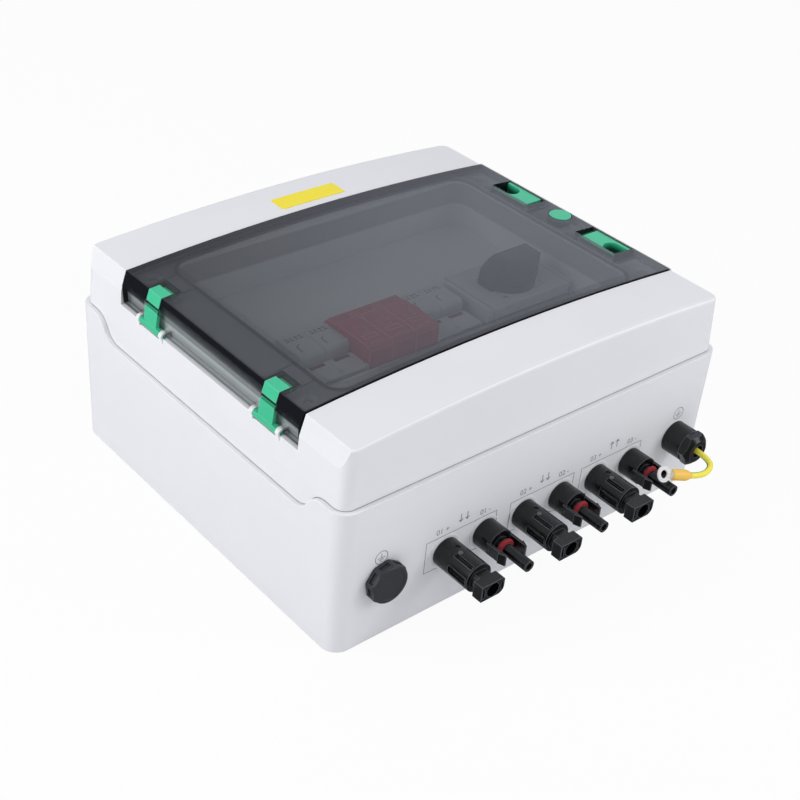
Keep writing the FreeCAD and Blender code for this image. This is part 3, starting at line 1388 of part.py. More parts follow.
def make_isolator_body():
    """Rotary isolator on the rail, with its front plate and the hole of the shaft."""
    x, y = isolator_centre()
    left, right = ISOLATOR_LEFT, ISOLATOR_LEFT + S["isolator_width"]
    shoulder, reach, nose = SHOULDER, S["device_half"], S["nose_half"]
    under = ISOLATOR_FRONT - S["isolator_plate"]
    outline = foot_outline(y) + [
        (y + reach, shoulder), (y + nose, shoulder), (y + nose, under),
        (y - nose, under), (y - nose, shoulder), (y - reach, shoulder),
    ]
    body = prism("isolator_profile", "YZ", outline, left, right)
    half = S["isolator_plate_half"]
    plate = block("isolator_plate", (left, y - half, under), (right, y + half, ISOLATOR_FRONT))
    plate = rounded("isolator_plate_round", plate, 3.0, along("z"))
    shaft_hole = S["shaft_radius"] + S["shaft_clearance"]
    depth = 12.0
    tools = [rod("isolator_bore", shaft_hole, (x, y, ISOLATOR_FRONT - depth), depth + 1)]
    for i in range(4):
        for sign in (-1, 1):
            at = (left + S["module_pitch"] * (i + 0.5), y + sign * (reach - 9), shoulder - 8)
            tools.append(rod("isolator_terminal_%d%s" % (i, "ab"[sign > 0]), 2.6, at, 9.0))
    for i, (dx, dy) in enumerate(four(S["plate_screw_x"], S["plate_screw_y"])):
        at = (x + dx, y + dy, ISOLATOR_FRONT - 3)
        tools.append(rod("plate_screw_hole_%d" % i, 2.7, at, 4.0))
    return cut("isolator_body", fuse("isolator_solid", body, plate), *tools)


def make_plate_screws():
    """Four small screws of the isolator's front plate."""
    x, y = isolator_centre()
    screws = []
    for i, (dx, dy) in enumerate(four(S["plate_screw_x"], S["plate_screw_y"])):
        low = ISOLATOR_FRONT - 3
        head = rod("plate_screw_%d_head" % i, 2.5, (x + dx, y + dy, low), 2.7)
        slot = block("plate_screw_%d_slot" % i, (x + dx - 3, y + dy - 0.4, low + 1.7), (x + dx + 3, y + dy + 0.4, low + 4))
        screws.append(cut("plate_screw_%d" % i, head, slot))
    return group("isolator_screws", *screws)


def make_knob():
    """Black rotary handle: disc and a tall grip bar with a rounded near end."""
    x, y = isolator_centre()
    low = ISOLATOR_FRONT + 0.3
    disc = rod("knob_disc", S["knob_radius"], (x, y, low), S["knob_base"])
    top = ISOLATOR_FRONT + S["knob_height"]
    half, width = S["grip_length"] / 2, S["grip_width"] / 2
    outline = [
        (x - half, low), (x + half + 1.5, low), (x + half + 1.5, top - 1.0), (x + half, top),
        (x - half + 13, top, x - half + 4.0, top - 4.2), (x - half, top - 13),
    ]
    bar = prism("knob_bar", "XZ", outline, y - width, y + width)
    bore_top = ISOLATOR_FRONT + 0.3 + S["knob_bore_depth"]
    bore = rod("knob_bore", S["shaft_radius"], (x, y, low - 1), bore_top - low + 1)
    return cut("isolator_knob", fuse("knob_solid", disc, bar), bore)


def make_shaft():
    """Steel shaft pressed in the knob and turning in the isolator."""
    x, y = isolator_centre()
    low = ISOLATOR_FRONT - 11.5
    high = ISOLATOR_FRONT + 0.3 + S["knob_bore_depth"]
    return rod("isolator_shaft", S["shaft_radius"], (x, y, low), high - low)


# Connectors

def make_socket(name, x):
    """Panel socket: barrel with side windows, neck, and a keyed end box with bore and two slots."""
    z, face = S["port_height"], -PORT_FACE
    barrel_end = face - S["socket_barrel"]
    neck_end = barrel_end - S["socket_neck"]
    tip = neck_end - S["socket_box"]
    half, rise = S["socket_box_half"], S["socket_box_rise"]
    barrel = rod(name + "_barrel", S["barrel_radius"], (x, face, z), S["socket_barrel"], "-y")
    shank = rod(name + "_shank", S["port_shank_radius"], (x, face, z), S["port_shank"], "y")
    neck = rod(name + "_neck", 6.6, (x, barrel_end, z), S["socket_neck"], "-y")
    flat = block(name + "_flat", (x - 8.6, neck_end - 1, z - rise), (x + 8.6, barrel_end + 1, z + rise))
    neck = common(name + "_neck_flat", neck, flat)
    round_radius = 4.4
    box_outline = [
        (x - half, z - rise), (x + half - round_radius, z - rise, x + half - 1.3, z - rise + 1.3),
        (x + half, z - rise + round_radius), (x + half, z + rise - 1.6, x + half - 0.5, z + rise - 0.5),
        (x + half - 1.6, z + rise), (x - half, z + rise),
    ]
    box = prism(name + "_box", "XZ", box_outline, tip, neck_end)
    tools = [
        rod(name + "_bore", S["socket_bore"], (x, tip - 1, z), S["socket_bore_depth"] + 1, "y"),
        rod(name + "_contact", S["tube_radius"], (x, SOCKET_FLOOR - 1, z), S["tube_length"] + 1, "y"),
    ]
    for sign in (-1, 1):
        side = "left" if sign < 0 else "right"
        slot_x = x + sign * 6.9
        tools.append(block(name + "_slot_" + side, (slot_x - 0.8, tip - 1, z - 3.3), (slot_x + 0.8, tip + 5, z + 3.3)))
        low_x, high_x = (x - 12, x - 6.9) if sign < 0 else (x + 6.9, x + 12)
        window_low = (low_x, barrel_end + 1.4, z - 2.6)
        tools.append(block(name + "_window_" + side, window_low, (high_x, barrel_end + 15.5, z + 2.6)))
    for sign in (-1, 1):
        side = "low" if sign < 0 else "high"
        edge_x = x + sign * 4.4
        low = (edge_x - 1.1, barrel_end + 1.4, z + 7.0)
        tools.append(block(name + "_groove_" + side, low, (edge_x + 1.1, barrel_end + 15.5, z + 12)))
    tools.append(rod(name + "_dimple", 1.7, (x, barrel_end + 18.5, z + 8.6), 2.0))
    return cut(name, fuse(name + "_solid", barrel, shank, neck, box), *tools)


def make_pin(name, x):
    """Panel pin connector: short barrel, two latch arms, neck and a long hollow sleeve."""
    z, face = S["port_height"], -PORT_FACE
    barrel_end = face - S["pin_barrel"]
    tip = face - S["pin_sleeve_tip"]
    barrel = rod(name + "_barrel", S["barrel_radius"], (x, face, z), S["pin_barrel"], "-y")
    shank = rod(name + "_shank", S["port_shank_radius"], (x, face, z), S["port_shank"], "y")
    neck = rod(name + "_neck", S["pin_neck_radius"], (x, barrel_end, z), S["pin_neck"], "-y")
    seat_length = S["pin_neck"] + S["seal_ring_width"]
    seat = rod(name + "_seat", S["ring_seat_radius"], (x, barrel_end, z), seat_length, "-y")
    sleeve = rod(name + "_sleeve", S["pin_sleeve_radius"], (x, barrel_end, z), barrel_end - tip, "-y")
    parts = [barrel, shank, neck, seat, sleeve]
    reach = barrel_end - S["arm_reach"]
    for sign in (-1, 1):
        side = "left" if sign < 0 else "right"
        inner, outer = x + sign * 7.3, x + sign * 9.0
        barb = x + sign * 9.9
        outline = [
            (inner, barrel_end + 2), (outer, barrel_end + 2), (outer, reach + 4.6),
            (barb, reach + 4.6), (x + sign * 8.2, reach), (inner, reach),
        ]
        parts.append(prism(name + "_arm_" + side, "XY", outline, z - 3.6, z + 3.6))
    bore = rod(name + "_bore", S["pin_bore"], (x, tip - 1, z), S["pin_bore_depth"] + 1, "y")
    relief = []
    for sign in (-1, 1):
        side = "left" if sign < 0 else "right"
        low_x, high_x = (x - 12, x - 8.0) if sign < 0 else (x + 8.0, x + 12)
        relief.append(block(name + "_relief_" + side, (low_x, barrel_end + 1.5, z + 3.6), (high_x, barrel_end + 6, z + 8)))
    return cut(name, fuse(name + "_solid", *parts), bore, *relief)


def make_seal_rings(pins):
    """Red sealing rings on the sleeves of the pin connectors."""
    rings = []
    start = -PORT_FACE - S["pin_barrel"] - S["pin_neck"]
    inner, outer, width = S["ring_seat_radius"], S["seal_ring_radius"], S["seal_ring_width"]
    soft = 0.8
    for i, x in enumerate(pins):
        outline = [
            (inner, 0), (outer - soft, 0), (outer, soft), (outer, width - soft),
            (outer - soft, width), (inner, width),
        ]
        rings.append(turned("seal_ring_%d" % (i + 1), outline, (x, start, S["port_height"]), "-y"))
    return group("seal_rings", *rings)


def make_contacts(sockets, pins):
    """Metal contacts: tubes behind the floors of the socket bores, rods inside the sleeves."""
    z = S["port_height"]
    tubes, rods = [], []
    for i, x in enumerate(sockets):
        name = "socket_tube_%d" % (i + 1)
        outer = rod(name + "_outer", S["tube_radius"], (x, SOCKET_FLOOR, z), S["tube_length"], "y")
        inner = rod(name + "_inner", S["contact_radius"] + 0.1, (x, SOCKET_FLOOR - 1, z), S["tube_length"] - 1, "y")
        tubes.append(cut(name, outer, inner))
    pin_end = -PORT_FACE - S["pin_sleeve_tip"] + S["pin_bore_depth"]
    for i, x in enumerate(pins):
        rods.append(rod("pin_rod_%d" % (i + 1), S["contact_radius"], (x, pin_end, z), S["pin_bore_depth"] - 3.5, "-y"))
    return group("socket_contacts", *tubes), group("pin_contacts", *rods)


def make_lock_nut(name, x, z, bore):
    """Hexagon nut on a shank inside the wall."""
    start = -HALF_Y + S["case_wall"] + S["foot_inset"] + S["nut_gap"]
    nut = hexagon(name + "_hex", S["nut_circumradius"], (x, start, z), S["nut_thickness"], "y")
    hole = rod(name + "_hole", bore, (x, start - 1, z), S["nut_thickness"] + 2, "y")
    return cut(name, nut, hole)


def make_port_nuts(sockets, pins):
    bore = S["port_shank_radius"] + 0.05
    nuts = [make_lock_nut("port_nut_%d" % (i + 1), x, S["port_height"], bore)
            for i, x in enumerate(sockets + pins)]
    return group("port_nuts", *nuts)


# Blanking plug, gland and earth wire

def make_blank_plug():
    """Hexagon plug with a chamfer up to its round face."""
    x, z, face = BLANK_X, S["blank_height"], -PORT_FACE
    hexagonal = hexagon("blank_hex_body", S["blank_hex"], (x, face, z), S["blank_thickness"], "-y")
    lead = 2.2
    side = S["blank_hex"] + 0.4
    cap_outline = [
        (0, 0), (side, 0), (side, S["blank_thickness"] - lead), (S["blank_face_radius"], S["blank_thickness"]),
        (0, S["blank_thickness"]),
    ]
    cap = turned("blank_cap", cap_outline, (x, face, z), "-y")
    head = common("blank_head", hexagonal, cap)
    shank = rod("blank_shank", S["port_shank_radius"], (x, face, z), S["port_shank"], "y")
    return fuse("blank_plug", head, shank)


def make_gland():
    """Gland barrel, cap nut and rubber insert."""
    x, z, face = GLAND_X, S["gland_height"], -PORT_FACE
    barrel = rod("gland_barrel_round", S["gland_radius"], (x, face, z), S["gland_barrel"], "-y")
    shank = rod("gland_shank", S["port_shank_radius"], (x, face, z), S["port_shank"], "y")
    bore = rod("gland_bore", 5.6, (x, face - S["gland_barrel"] - 1, z), 30.0, "y")
    body = cut("gland_body", fuse("gland_solid", barrel, shank), bore)
    start = face - S["gland_barrel"]
    length = S["gland_nut"]
    hexagonal = hexagon("gland_nut_hex", S["gland_nut_circumradius"], (x, start, z), length, "-y")
    dome_outline = [
        (0, 0), (S["gland_nut_circumradius"] + 0.3, 0), (S["gland_nut_circumradius"] + 0.3, length - 3.4),
        (8.6, length - 0.9), (7.6, length), (0, length),
    ]
    dome = turned("gland_nut_dome", dome_outline, (x, start, z), "-y")
    mouth = rod("gland_nut_mouth", S["gland_mouth"], (x, start - length - 1, z), length + 2, "y")
    nut = cut("gland_nut", common("gland_nut_solid", hexagonal, dome), mouth)
    seal_length = WIRE_START + start
    insert = rod("gland_seal", S["gland_mouth"] - 0.05, (x, start, z), seal_length, "-y")
    return body, nut, insert


def wire_path():
    """Straight runs joined by tangent arcs along the route, and the radii of the arcs."""
    points = [Vector(*p) for p in WIRE_ROUTE]
    edges, radii = [], []
    start = points[0]
    for before, corner, after in zip(points, points[1:], points[2:]):
        into = (corner - before).normalize()
        out = (after - corner).normalize()
        turn = into.getAngle(out)
        reach = 0.45 * min((corner - before).Length, (after - corner).Length)
        radius = reach / math.tan(turn / 2)
        first, last = corner - into * reach, corner + out * reach
        inward = (out - into).normalize()
        centre = corner + inward * math.hypot(radius, reach)
        middle = centre - inward * radius
        edges.append(Part.LineSegment(start, first).toShape())
        edges.append(Part.Arc(first, middle, last).toShape())
        radii.append(radius)
        start = last
    edges.append(Part.LineSegment(start, points[-1]).toShape())
    return Part.Wire(edges), radii


def make_wire():
    """Earth wire as a tube along its route."""
    path, radii = wire_path()
    radius = number(S["wire_radius"])
    start = Vector(*WIRE_ROUTE[0])
    direction = (Vector(*WIRE_ROUTE[1]) - start).normalize()
    circle = Part.Wire(Part.Circle(start, direction, radius).toShape())
    tube = path.makePipeShell([circle], True, False)
    expected = math.pi * radius ** 2 * path.Length
    print("wire radii", [round(r, 1) for r in radii], "volume ratio", round(tube.Volume / expected, 3))
    return feature("earth_wire", tube)


def wire_end():
    """Frame at the wire's end: X along the wire, Z along the ring terminal's normal."""
    end, before = Vector(*WIRE_ROUTE[-1]), Vector(*WIRE_ROUTE[-2])
    along_wire = (end - before).normalize()
    normal = Vector(*RING_NORMAL)
    normal = (normal - along_wire * normal.dot(along_wire)).normalize()
    across = normal.cross(along_wire)
    return Placement(end, Rotation(along_wire, across, normal, "XYZ"))


def make_sleeve():
    """Insulating sleeve over the crimp."""
    thing = doc.addObject("Part::Cylinder", "wire_sleeve")
    bind(thing, "Radius", S["sleeve_radius"])
    bind(thing, "Height", S["sleeve_length"])
    thing.Placement = wire_end().multiply(Placement(Vector(), TURNS["x"]))
    return thing


def make_ring_terminal():
    """Ring terminal: flat ring, tapered neck and a short round crimp end at the sleeve."""
    reach, gauge = number(S["ring_reach"]), number(S["ring_gauge"])
    start = number(S["sleeve_length"])
    ring = Part.makeCylinder(number(S["ring_radius"]), gauge, Vector(start + reach, 0, -gauge / 2))
    neck_points = [(start + 0.6, -2.4), (start + reach, -4.4), (start + reach, 4.4), (start + 0.6, 2.4)]
    corners = [Vector(u, v, -gauge / 2) for u, v in neck_points]
    neck = Part.Face(Part.makePolygon(corners + corners[:1])).extrude(Vector(0, 0, gauge))
    crimp = Part.makeCylinder(2.4, 2.4, Vector(start, 0, 0), Vector(1, 0, 0))
    hole = Part.makeCylinder(number(S["ring_hole"]), 6, Vector(start + reach, 0, -3))
    thing = feature("ring_terminal", ring.fuse([neck, crimp]).cut(hole).removeSplitter())
    thing.Placement = wire_end()
    return thing


# Sticker

def make_label():
    """Blank sticker on the arched front, beside the door."""
    x, y = number(S["label_x"]), number(S["label_y"])
    half_x, half_y = number(S["label_length"]) / 2, number(S["label_width"]) / 2
    gauge = number(S["label_gauge"])
    low = number(SEAM)
    corner = 1.2
    outline = loft([(half_x, half_y, corner, z) for z in (low, low + 60)])
    outline.translate(Vector(x, y, 0))
    proud = number(S["door_proud"])
    return feature("blank_label", outline.common(front_band(proud - gauge, proud)))


# Whole

def make_parts():
    """Build every sub-part and return them by node name."""
    nodes = {}

    def add(name, thing):
        doc.recompute()
        thing.Label = name
        nodes[name] = thing

    case_seal = feature("case_seal", case_seal_shape())
    door_seal = feature("door_seal", door_seal_shape())
    groove = feature("seam_groove", seam_groove_shape())
    add("case_seal", case_seal)
    add("door_seal", door_seal)
    add("base_shell", make_base(case_seal, groove))
    add("front_cover", make_cover(case_seal, groove, door_seal))
    add("door", make_door())
    for name, side in (("hinge_arm_far", 1), ("hinge_arm_near", -1)):
        add(name, make_hinge(name, side))
    for name, side in (("latch_far", 1), ("latch_near", -1)):
        add(name, make_latch(name, side))
    add("lock_plug", make_lock_plug())
    add("cover_screws", make_cover_screws())
    add("blank_label", make_label())
    add("din_rail", make_rail())
    add("rail_screws", make_rail_screws())
    add("end_stops", make_end_stops())
    for i, first in enumerate((0, 1, 5, 6), start=1):
        add("fuse_base_%d" % i, make_fuse_base("fuse_base_%d" % i, first))
        add("fuse_drawer_%d" % i, make_fuse_drawer("fuse_drawer_%d" % i, first))
        add("fuse_link_%d" % i, make_fuse_link("fuse_link_%d" % i, first))
    add("surge_base", make_surge_base())
    for i in range(3):
        name = "surge_cartridge_%d" % (i + 1)
        add(name, make_cartridge(name, 2 + i))
    add("isolator_body", make_isolator_body())
    add("isolator_screws", make_plate_screws())
    add("isolator_knob", make_knob())
    add("isolator_shaft", make_shaft())
    sockets, pins = port_places()
    for i, (socket_x, pin_x) in enumerate(zip(sockets, pins), start=1):
        add("socket_connector_%d" % i, make_socket("socket_connector_%d" % i, socket_x))
        add("pin_connector_%d" % i, make_pin("pin_connector_%d" % i, pin_x))
    add("seal_rings", make_seal_rings(pins))
    tubes, rods = make_contacts(sockets, pins)
    add("socket_contacts", tubes)
    add("pin_contacts", rods)
    add("port_nuts", make_port_nuts(sockets, pins))
    bore = S["port_shank_radius"] + 0.05
    add("blank_plug", make_blank_plug())
    add("blank_plug_nut", make_lock_nut("blank_plug_nut", BLANK_X, S["blank_height"], bore))
    body, nut, insert = make_gland()
    add("gland_body", body)
    add("gland_nut", nut)
    add("gland_seal", insert)
    add("gland_lock_nut", make_lock_nut("gland_lock_nut", GLAND_X, S["gland_height"], bore))
    add("earth_wire", make_wire())
    add("wire_sleeve", make_sleeve())
    add("ring_terminal", make_ring_terminal())
    return nodes


def check(nodes):
    """Stop if any object failed or any sub-part has no sound solid."""
    doc.recompute()
    failed = [item.Name for item in doc.Objects if set(item.State) & {"Invalid", "Error"}]
    if failed:
        raise RuntimeError("failed objects: %s" % ", ".join(failed))
    for name, thing in nodes.items():
        shape = thing.Shape
        if shape.isNull() or not shape.isValid() or not shape.Solids:
            raise RuntimeError("no sound solid: " + name)


def export(nodes):
    os.makedirs("parts", exist_ok=True)
    for name, thing in nodes.items():
        thing.Shape.exportStep("parts/%s.step" % name)


all_nodes = make_parts()
check(all_nodes)
export(all_nodes)
print("nodes", len(all_nodes))
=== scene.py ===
import json
import math

import bmesh
import bpy
from mathutils import Matrix, Vector
from mathutils.bvhtree import BVHTree


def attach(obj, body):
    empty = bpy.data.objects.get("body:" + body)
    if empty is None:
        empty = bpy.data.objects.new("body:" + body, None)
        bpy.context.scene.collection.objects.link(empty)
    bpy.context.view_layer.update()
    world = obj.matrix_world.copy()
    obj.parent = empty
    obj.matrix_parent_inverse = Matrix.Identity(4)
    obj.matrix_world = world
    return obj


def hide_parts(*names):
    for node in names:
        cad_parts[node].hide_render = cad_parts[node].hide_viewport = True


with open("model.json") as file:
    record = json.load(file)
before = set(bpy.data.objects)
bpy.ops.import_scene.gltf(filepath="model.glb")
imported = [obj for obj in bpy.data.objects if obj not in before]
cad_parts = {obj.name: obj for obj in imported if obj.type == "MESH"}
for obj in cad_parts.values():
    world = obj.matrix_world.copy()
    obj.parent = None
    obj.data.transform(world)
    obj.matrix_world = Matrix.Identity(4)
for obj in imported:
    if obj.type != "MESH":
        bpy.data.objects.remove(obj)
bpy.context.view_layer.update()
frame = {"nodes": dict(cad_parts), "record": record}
MM = 0.001


# Materials

class Nodes:
    """Short calls to build one material's node tree."""

    def __init__(self, name):
        self.material = bpy.data.materials.new(name)
        self.material.use_nodes = True
        self.tree = self.material.node_tree
        self.tree.nodes.clear()
        self.output = self.add("ShaderNodeOutputMaterial")

    def add(self, kind, **values):
        node = self.tree.nodes.new(kind)
        for key, value in values.items():
            setattr(node, key, value)
        return node

    def link(self, source, target):
        self.tree.links.new(source, target)

    def surface(self, shader):
        self.link(shader, self.output.inputs["Surface"])
        return self.material

    def place(self):
        return self.add("ShaderNodeTexCoord").outputs["Object"]

    def noise(self, scale, detail=3.0, rough=0.5, place=None):
        node = self.add("ShaderNodeTexNoise")
        node.inputs["Scale"].default_value = scale
        node.inputs["Detail"].default_value = detail
        node.inputs["Roughness"].default_value = rough
        self.link(place or self.place(), node.inputs["Vector"])
        return node.outputs["Fac"]

    def remap(self, source, low, high, to_low, to_high):
        node = self.add("ShaderNodeMapRange")
        node.inputs["From Min"].default_value = low
        node.inputs["From Max"].default_value = high
        node.inputs["To Min"].default_value = to_low
        node.inputs["To Max"].default_value = to_high
        self.link(source, node.inputs["Value"])
        return node.outputs["Result"]

    def math(self, operation, a, b=None):
        node = self.add("ShaderNodeMath", operation=operation)
        for socket, value in zip(node.inputs, (a, b)):
            if value is None:
                continue
            if isinstance(value, (int, float)):
                socket.default_value = value
            else:
                self.link(value, socket)
        return node.outputs[0]

    def mix(self, factor, a, b):
        node = self.add("ShaderNodeMix", data_type="RGBA")
        factor_in, a_in, b_in = node.inputs[0], node.inputs[6], node.inputs[7]
        if isinstance(factor, (int, float)):
            factor_in.default_value = factor
        else:
            self.link(factor, factor_in)
        for socket, value in ((a_in, a), (b_in, b)):
            if isinstance(value, (tuple, list)):
                socket.default_value = (*value[:3], 1.0)
            else:
                self.link(value, socket)
        return node.outputs[2]

    def ramp(self, source, stops):
        """Piecewise value along source, as (place, value) stops."""
        node = self.add("ShaderNodeValToRGB")
        bar = node.color_ramp.elements
        while len(bar) < len(stops):
            bar.new(0.5)
        for element, (place, value) in zip(bar, stops):
            element.position = place
            element.color = (value, value, value, 1.0)
        self.link(source, node.inputs["Fac"])
        return node.outputs["Color"]

    def xyz(self):
        split = self.add("ShaderNodeSeparateXYZ")
        self.link(self.place(), split.inputs[0])
        return split.outputs

    def mix_shader(self, factor, a, b):
        node = self.add("ShaderNodeMixShader")
        if isinstance(factor, (int, float)):
            node.inputs[0].default_value = factor
        else:
            self.link(factor, node.inputs[0])
        self.link(a, node.inputs[1])
        self.link(b, node.inputs[2])
        return node.outputs[0]

    def edges(self, reach, flat, bent):
        """Share of edge within a reach: none at the cosine flat of a rounded normal's lean, all at bent."""
        rounded = self.add("ShaderNodeBevel", samples=8)
        rounded.inputs["Radius"].default_value = reach
        lean = self.add("ShaderNodeVectorMath", operation="DOT_PRODUCT")
        self.link(rounded.outputs["Normal"], lean.inputs[0])
        self.link(self.add("ShaderNodeNewGeometry").outputs["Normal"], lean.inputs[1])
        return self.remap(lean.outputs["Value"], flat, bent, 0.0, 1.0)

    def crevice(self, reach):
        """Share of shade in grooves and inner corners within a reach."""
        open_sky = self.add("ShaderNodeAmbientOcclusion", samples=8)
        open_sky.inputs["Distance"].default_value = reach
        return self.remap(open_sky.outputs["AO"], 0.72, 0.25, 0.0, 0.60)

    def bump(self, height, strength, distance):
        node = self.add("ShaderNodeBump")
        node.inputs["Strength"].default_value = strength
        node.inputs["Distance"].default_value = distance
        self.link(height, node.inputs["Height"])
        return node.outputs["Normal"]

    def principled(self, **values):
        node = self.add("ShaderNodeBsdfPrincipled")
        for key, value in values.items():
            socket = node.inputs[key.replace("_", " ")]
            if hasattr(value, "node"):
                self.link(value, socket)
            elif isinstance(value, tuple):
                socket.default_value = (*value, 1.0)
            else:
                socket.default_value = value
        return node


BLACK = (0.004, 0.0045, 0.006)
WHITE, WHITE_EDGE_HIGHLIGHT = (0.82, 0.825, 0.85), (0.93, 0.935, 0.95)
SHARP_EDGES, SHALLOW_EDGES = (0.99, 0.92), (0.9985, 0.993)
SHADOW_TONE, GROOVE_TONE, GROOVE_REACH = 0.16, 0.25, 0.0022


def shade(color, factor):
    return tuple(min(1.0, channel * factor) for channel in color)


def moulded(name, color, rough=0.42, grain=900.0, depth=0.00002, spread=0.04, strength=0.25, specular=0.5,
            shadow=None, edge=None, reach=0.0007, lean=SHARP_EDGES, keep=None, crest=None, grooves=False):
    """Moulded plastic: faint flow variation in colour, fine texture in bump, uneven gloss, painted highlight
    along edges.

    shadow, keep and crest are functions of the nodes: a share of painted shade, of the painted edge highlight
    kept and of an added painted highlight line; grooves adds painted shade in grooves and inner corners."""
    n = Nodes(name)
    flow = n.remap(n.noise(14.0, 4.0), 0.3, 0.7, 0.0, 1.0)
    tint = n.mix(flow, shade(color, 1 - spread), shade(color, 1 + spread))
    # Painted shade where the shadow function gives a share.
    if shadow:
        tint = n.mix(shadow(n), tint, shade(color, SHADOW_TONE))
    gloss = n.remap(n.noise(60.0, 3.0), 0.3, 0.7, rough - 0.05, rough + 0.06)
    normal = n.bump(n.noise(grain, 2.0), strength, depth)
    # Painted highlight along edges: base colour lightened where the rounded normal leans off the plain one,
    # plus any crest line.
    if edge:
        edge_highlight = n.edges(reach, *lean)
        if keep:
            edge_highlight = n.math("MULTIPLY", edge_highlight, keep(n))
        if crest:
            edge_highlight = n.math("MAXIMUM", edge_highlight, crest(n))
        tint = n.mix(edge_highlight, tint, edge)
    # Painted shade in grooves and inner corners, from ambient occlusion.
    if grooves:
        tint = n.mix(n.crevice(GROOVE_REACH), tint, shade(color, GROOVE_TONE))
    shader = n.principled(Base_Color=tint, Roughness=gloss, Normal=normal, Specular_IOR_Level=specular)
    return n.surface(shader.outputs[0])


def off_dimples(n):
    """Share of the connectors' painted edge highlight to keep: none where the CAD has its own dimples."""
    along = n.remap(n.xyz()[1], -0.15, -0.13, 0.0, 1.0)
    return n.ramp(along, ((0.33, 1.0), (0.36, 0.0), (0.57, 0.0), (0.60, 1.0)))


def crest_painted_highlight(n):
    """Share of painted highlight line along the rounded edge at the top of the cover's near wall."""
    split = n.add("ShaderNodeSeparateXYZ")
    n.link(n.add("ShaderNodeNewGeometry").outputs["Normal"], split.inputs[0])
    stops = ((0.0, 0.0), (0.42, 0.0), (0.56, 1.0), (0.74, 1.0), (0.88, 0.0), (1.0, 0.0))
    line = n.ramp(split.outputs["Z"], stops)
    near = n.remap(n.xyz()[1], -0.1200, -0.1210, 0.0, 1.0)
    return n.math("MULTIPLY", line, near)


def well_painted_shade(n):
    """Share of painted shade high on the walls of the window's well."""
    x, y, z = n.xyz()
    inside_x = n.remap(n.math("ABSOLUTE", x), 0.1170, 0.1160, 0.0, 1.0)
    inside_y = n.remap(n.math("ABSOLUTE", y), 0.0808, 0.0800, 0.0, 1.0)
    over = n.remap(z, 0.1160, 0.1180, 0.04, 0.60)
    under = n.remap(z, 0.1330, 0.1310, 0.0, 1.0)
    inside = n.math("MULTIPLY", n.math("MULTIPLY", inside_x, inside_y), under)
    return n.math("MULTIPLY", inside, over)


def hollow_painted_shade(n):
    """Painted shade: darker green down in the thumb hollows of the latches."""
    x, _, z = n.xyz()
    deep = n.remap(z, 0.1340, 0.1300, 0.0, 1.0)
    end = n.remap(x, 0.1200, 0.1201, 0.0, 1.0)
    return n.math("MULTIPLY", deep, end)


def metal(name, color, metallic, rough=0.3):
    """Plated metal with faint drawn marks."""
    n = Nodes(name)
    mapping = n.add("ShaderNodeMapping")
    mapping.inputs["Scale"].default_value = (1.0, 0.08, 1.0)
    n.link(n.place(), mapping.inputs["Vector"])
    marks = n.noise(500.0, 3.0, 0.6, mapping.outputs[0])
    gloss = n.remap(marks, 0.3, 0.7, rough - 0.08, rough + 0.12)
    tint = n.mix(n.noise(80.0), shade(color, 0.92), shade(color, 1.04))
    normal = n.bump(marks, 0.15, 0.00002)
    shader = n.principled(Base_Color=tint, Roughness=gloss, Metallic=metallic, Normal=normal)
    return n.surface(shader.outputs[0])


def rubber(name, color, far_color=None):
    """Matt rubber; far_color is its paler tone towards +Y."""
    n = Nodes(name)
    tint = n.mix(n.noise(120.0), shade(color, 0.85), shade(color, 1.2))
    if far_color:
        tint = n.mix(n.remap(n.xyz()[1], -0.02, 0.06, 0.0, 1.0), tint, far_color)
    normal = n.bump(n.noise(1600.0, 2.0), 0.3, 0.00003)
    shader = n.principled(Base_Color=tint, Roughness=0.7, Normal=normal)
    return n.surface(shader.outputs[0])


WINDOW_DARK = 0.35
WINDOW_CENTRE_X, WINDOW_INNER_X, WINDOW_INNER_Y = 0.0005, 0.1045, 0.069
FOLD_X = -0.1412
ARM_SPAN_MIDDLE_Y, ARM_SPAN_HALF = -0.0018, 0.0645
SLOT_OUTER_Y, SLOT_INNER_Y, SLOT_START_X = 0.0568, 0.0220, 0.1240


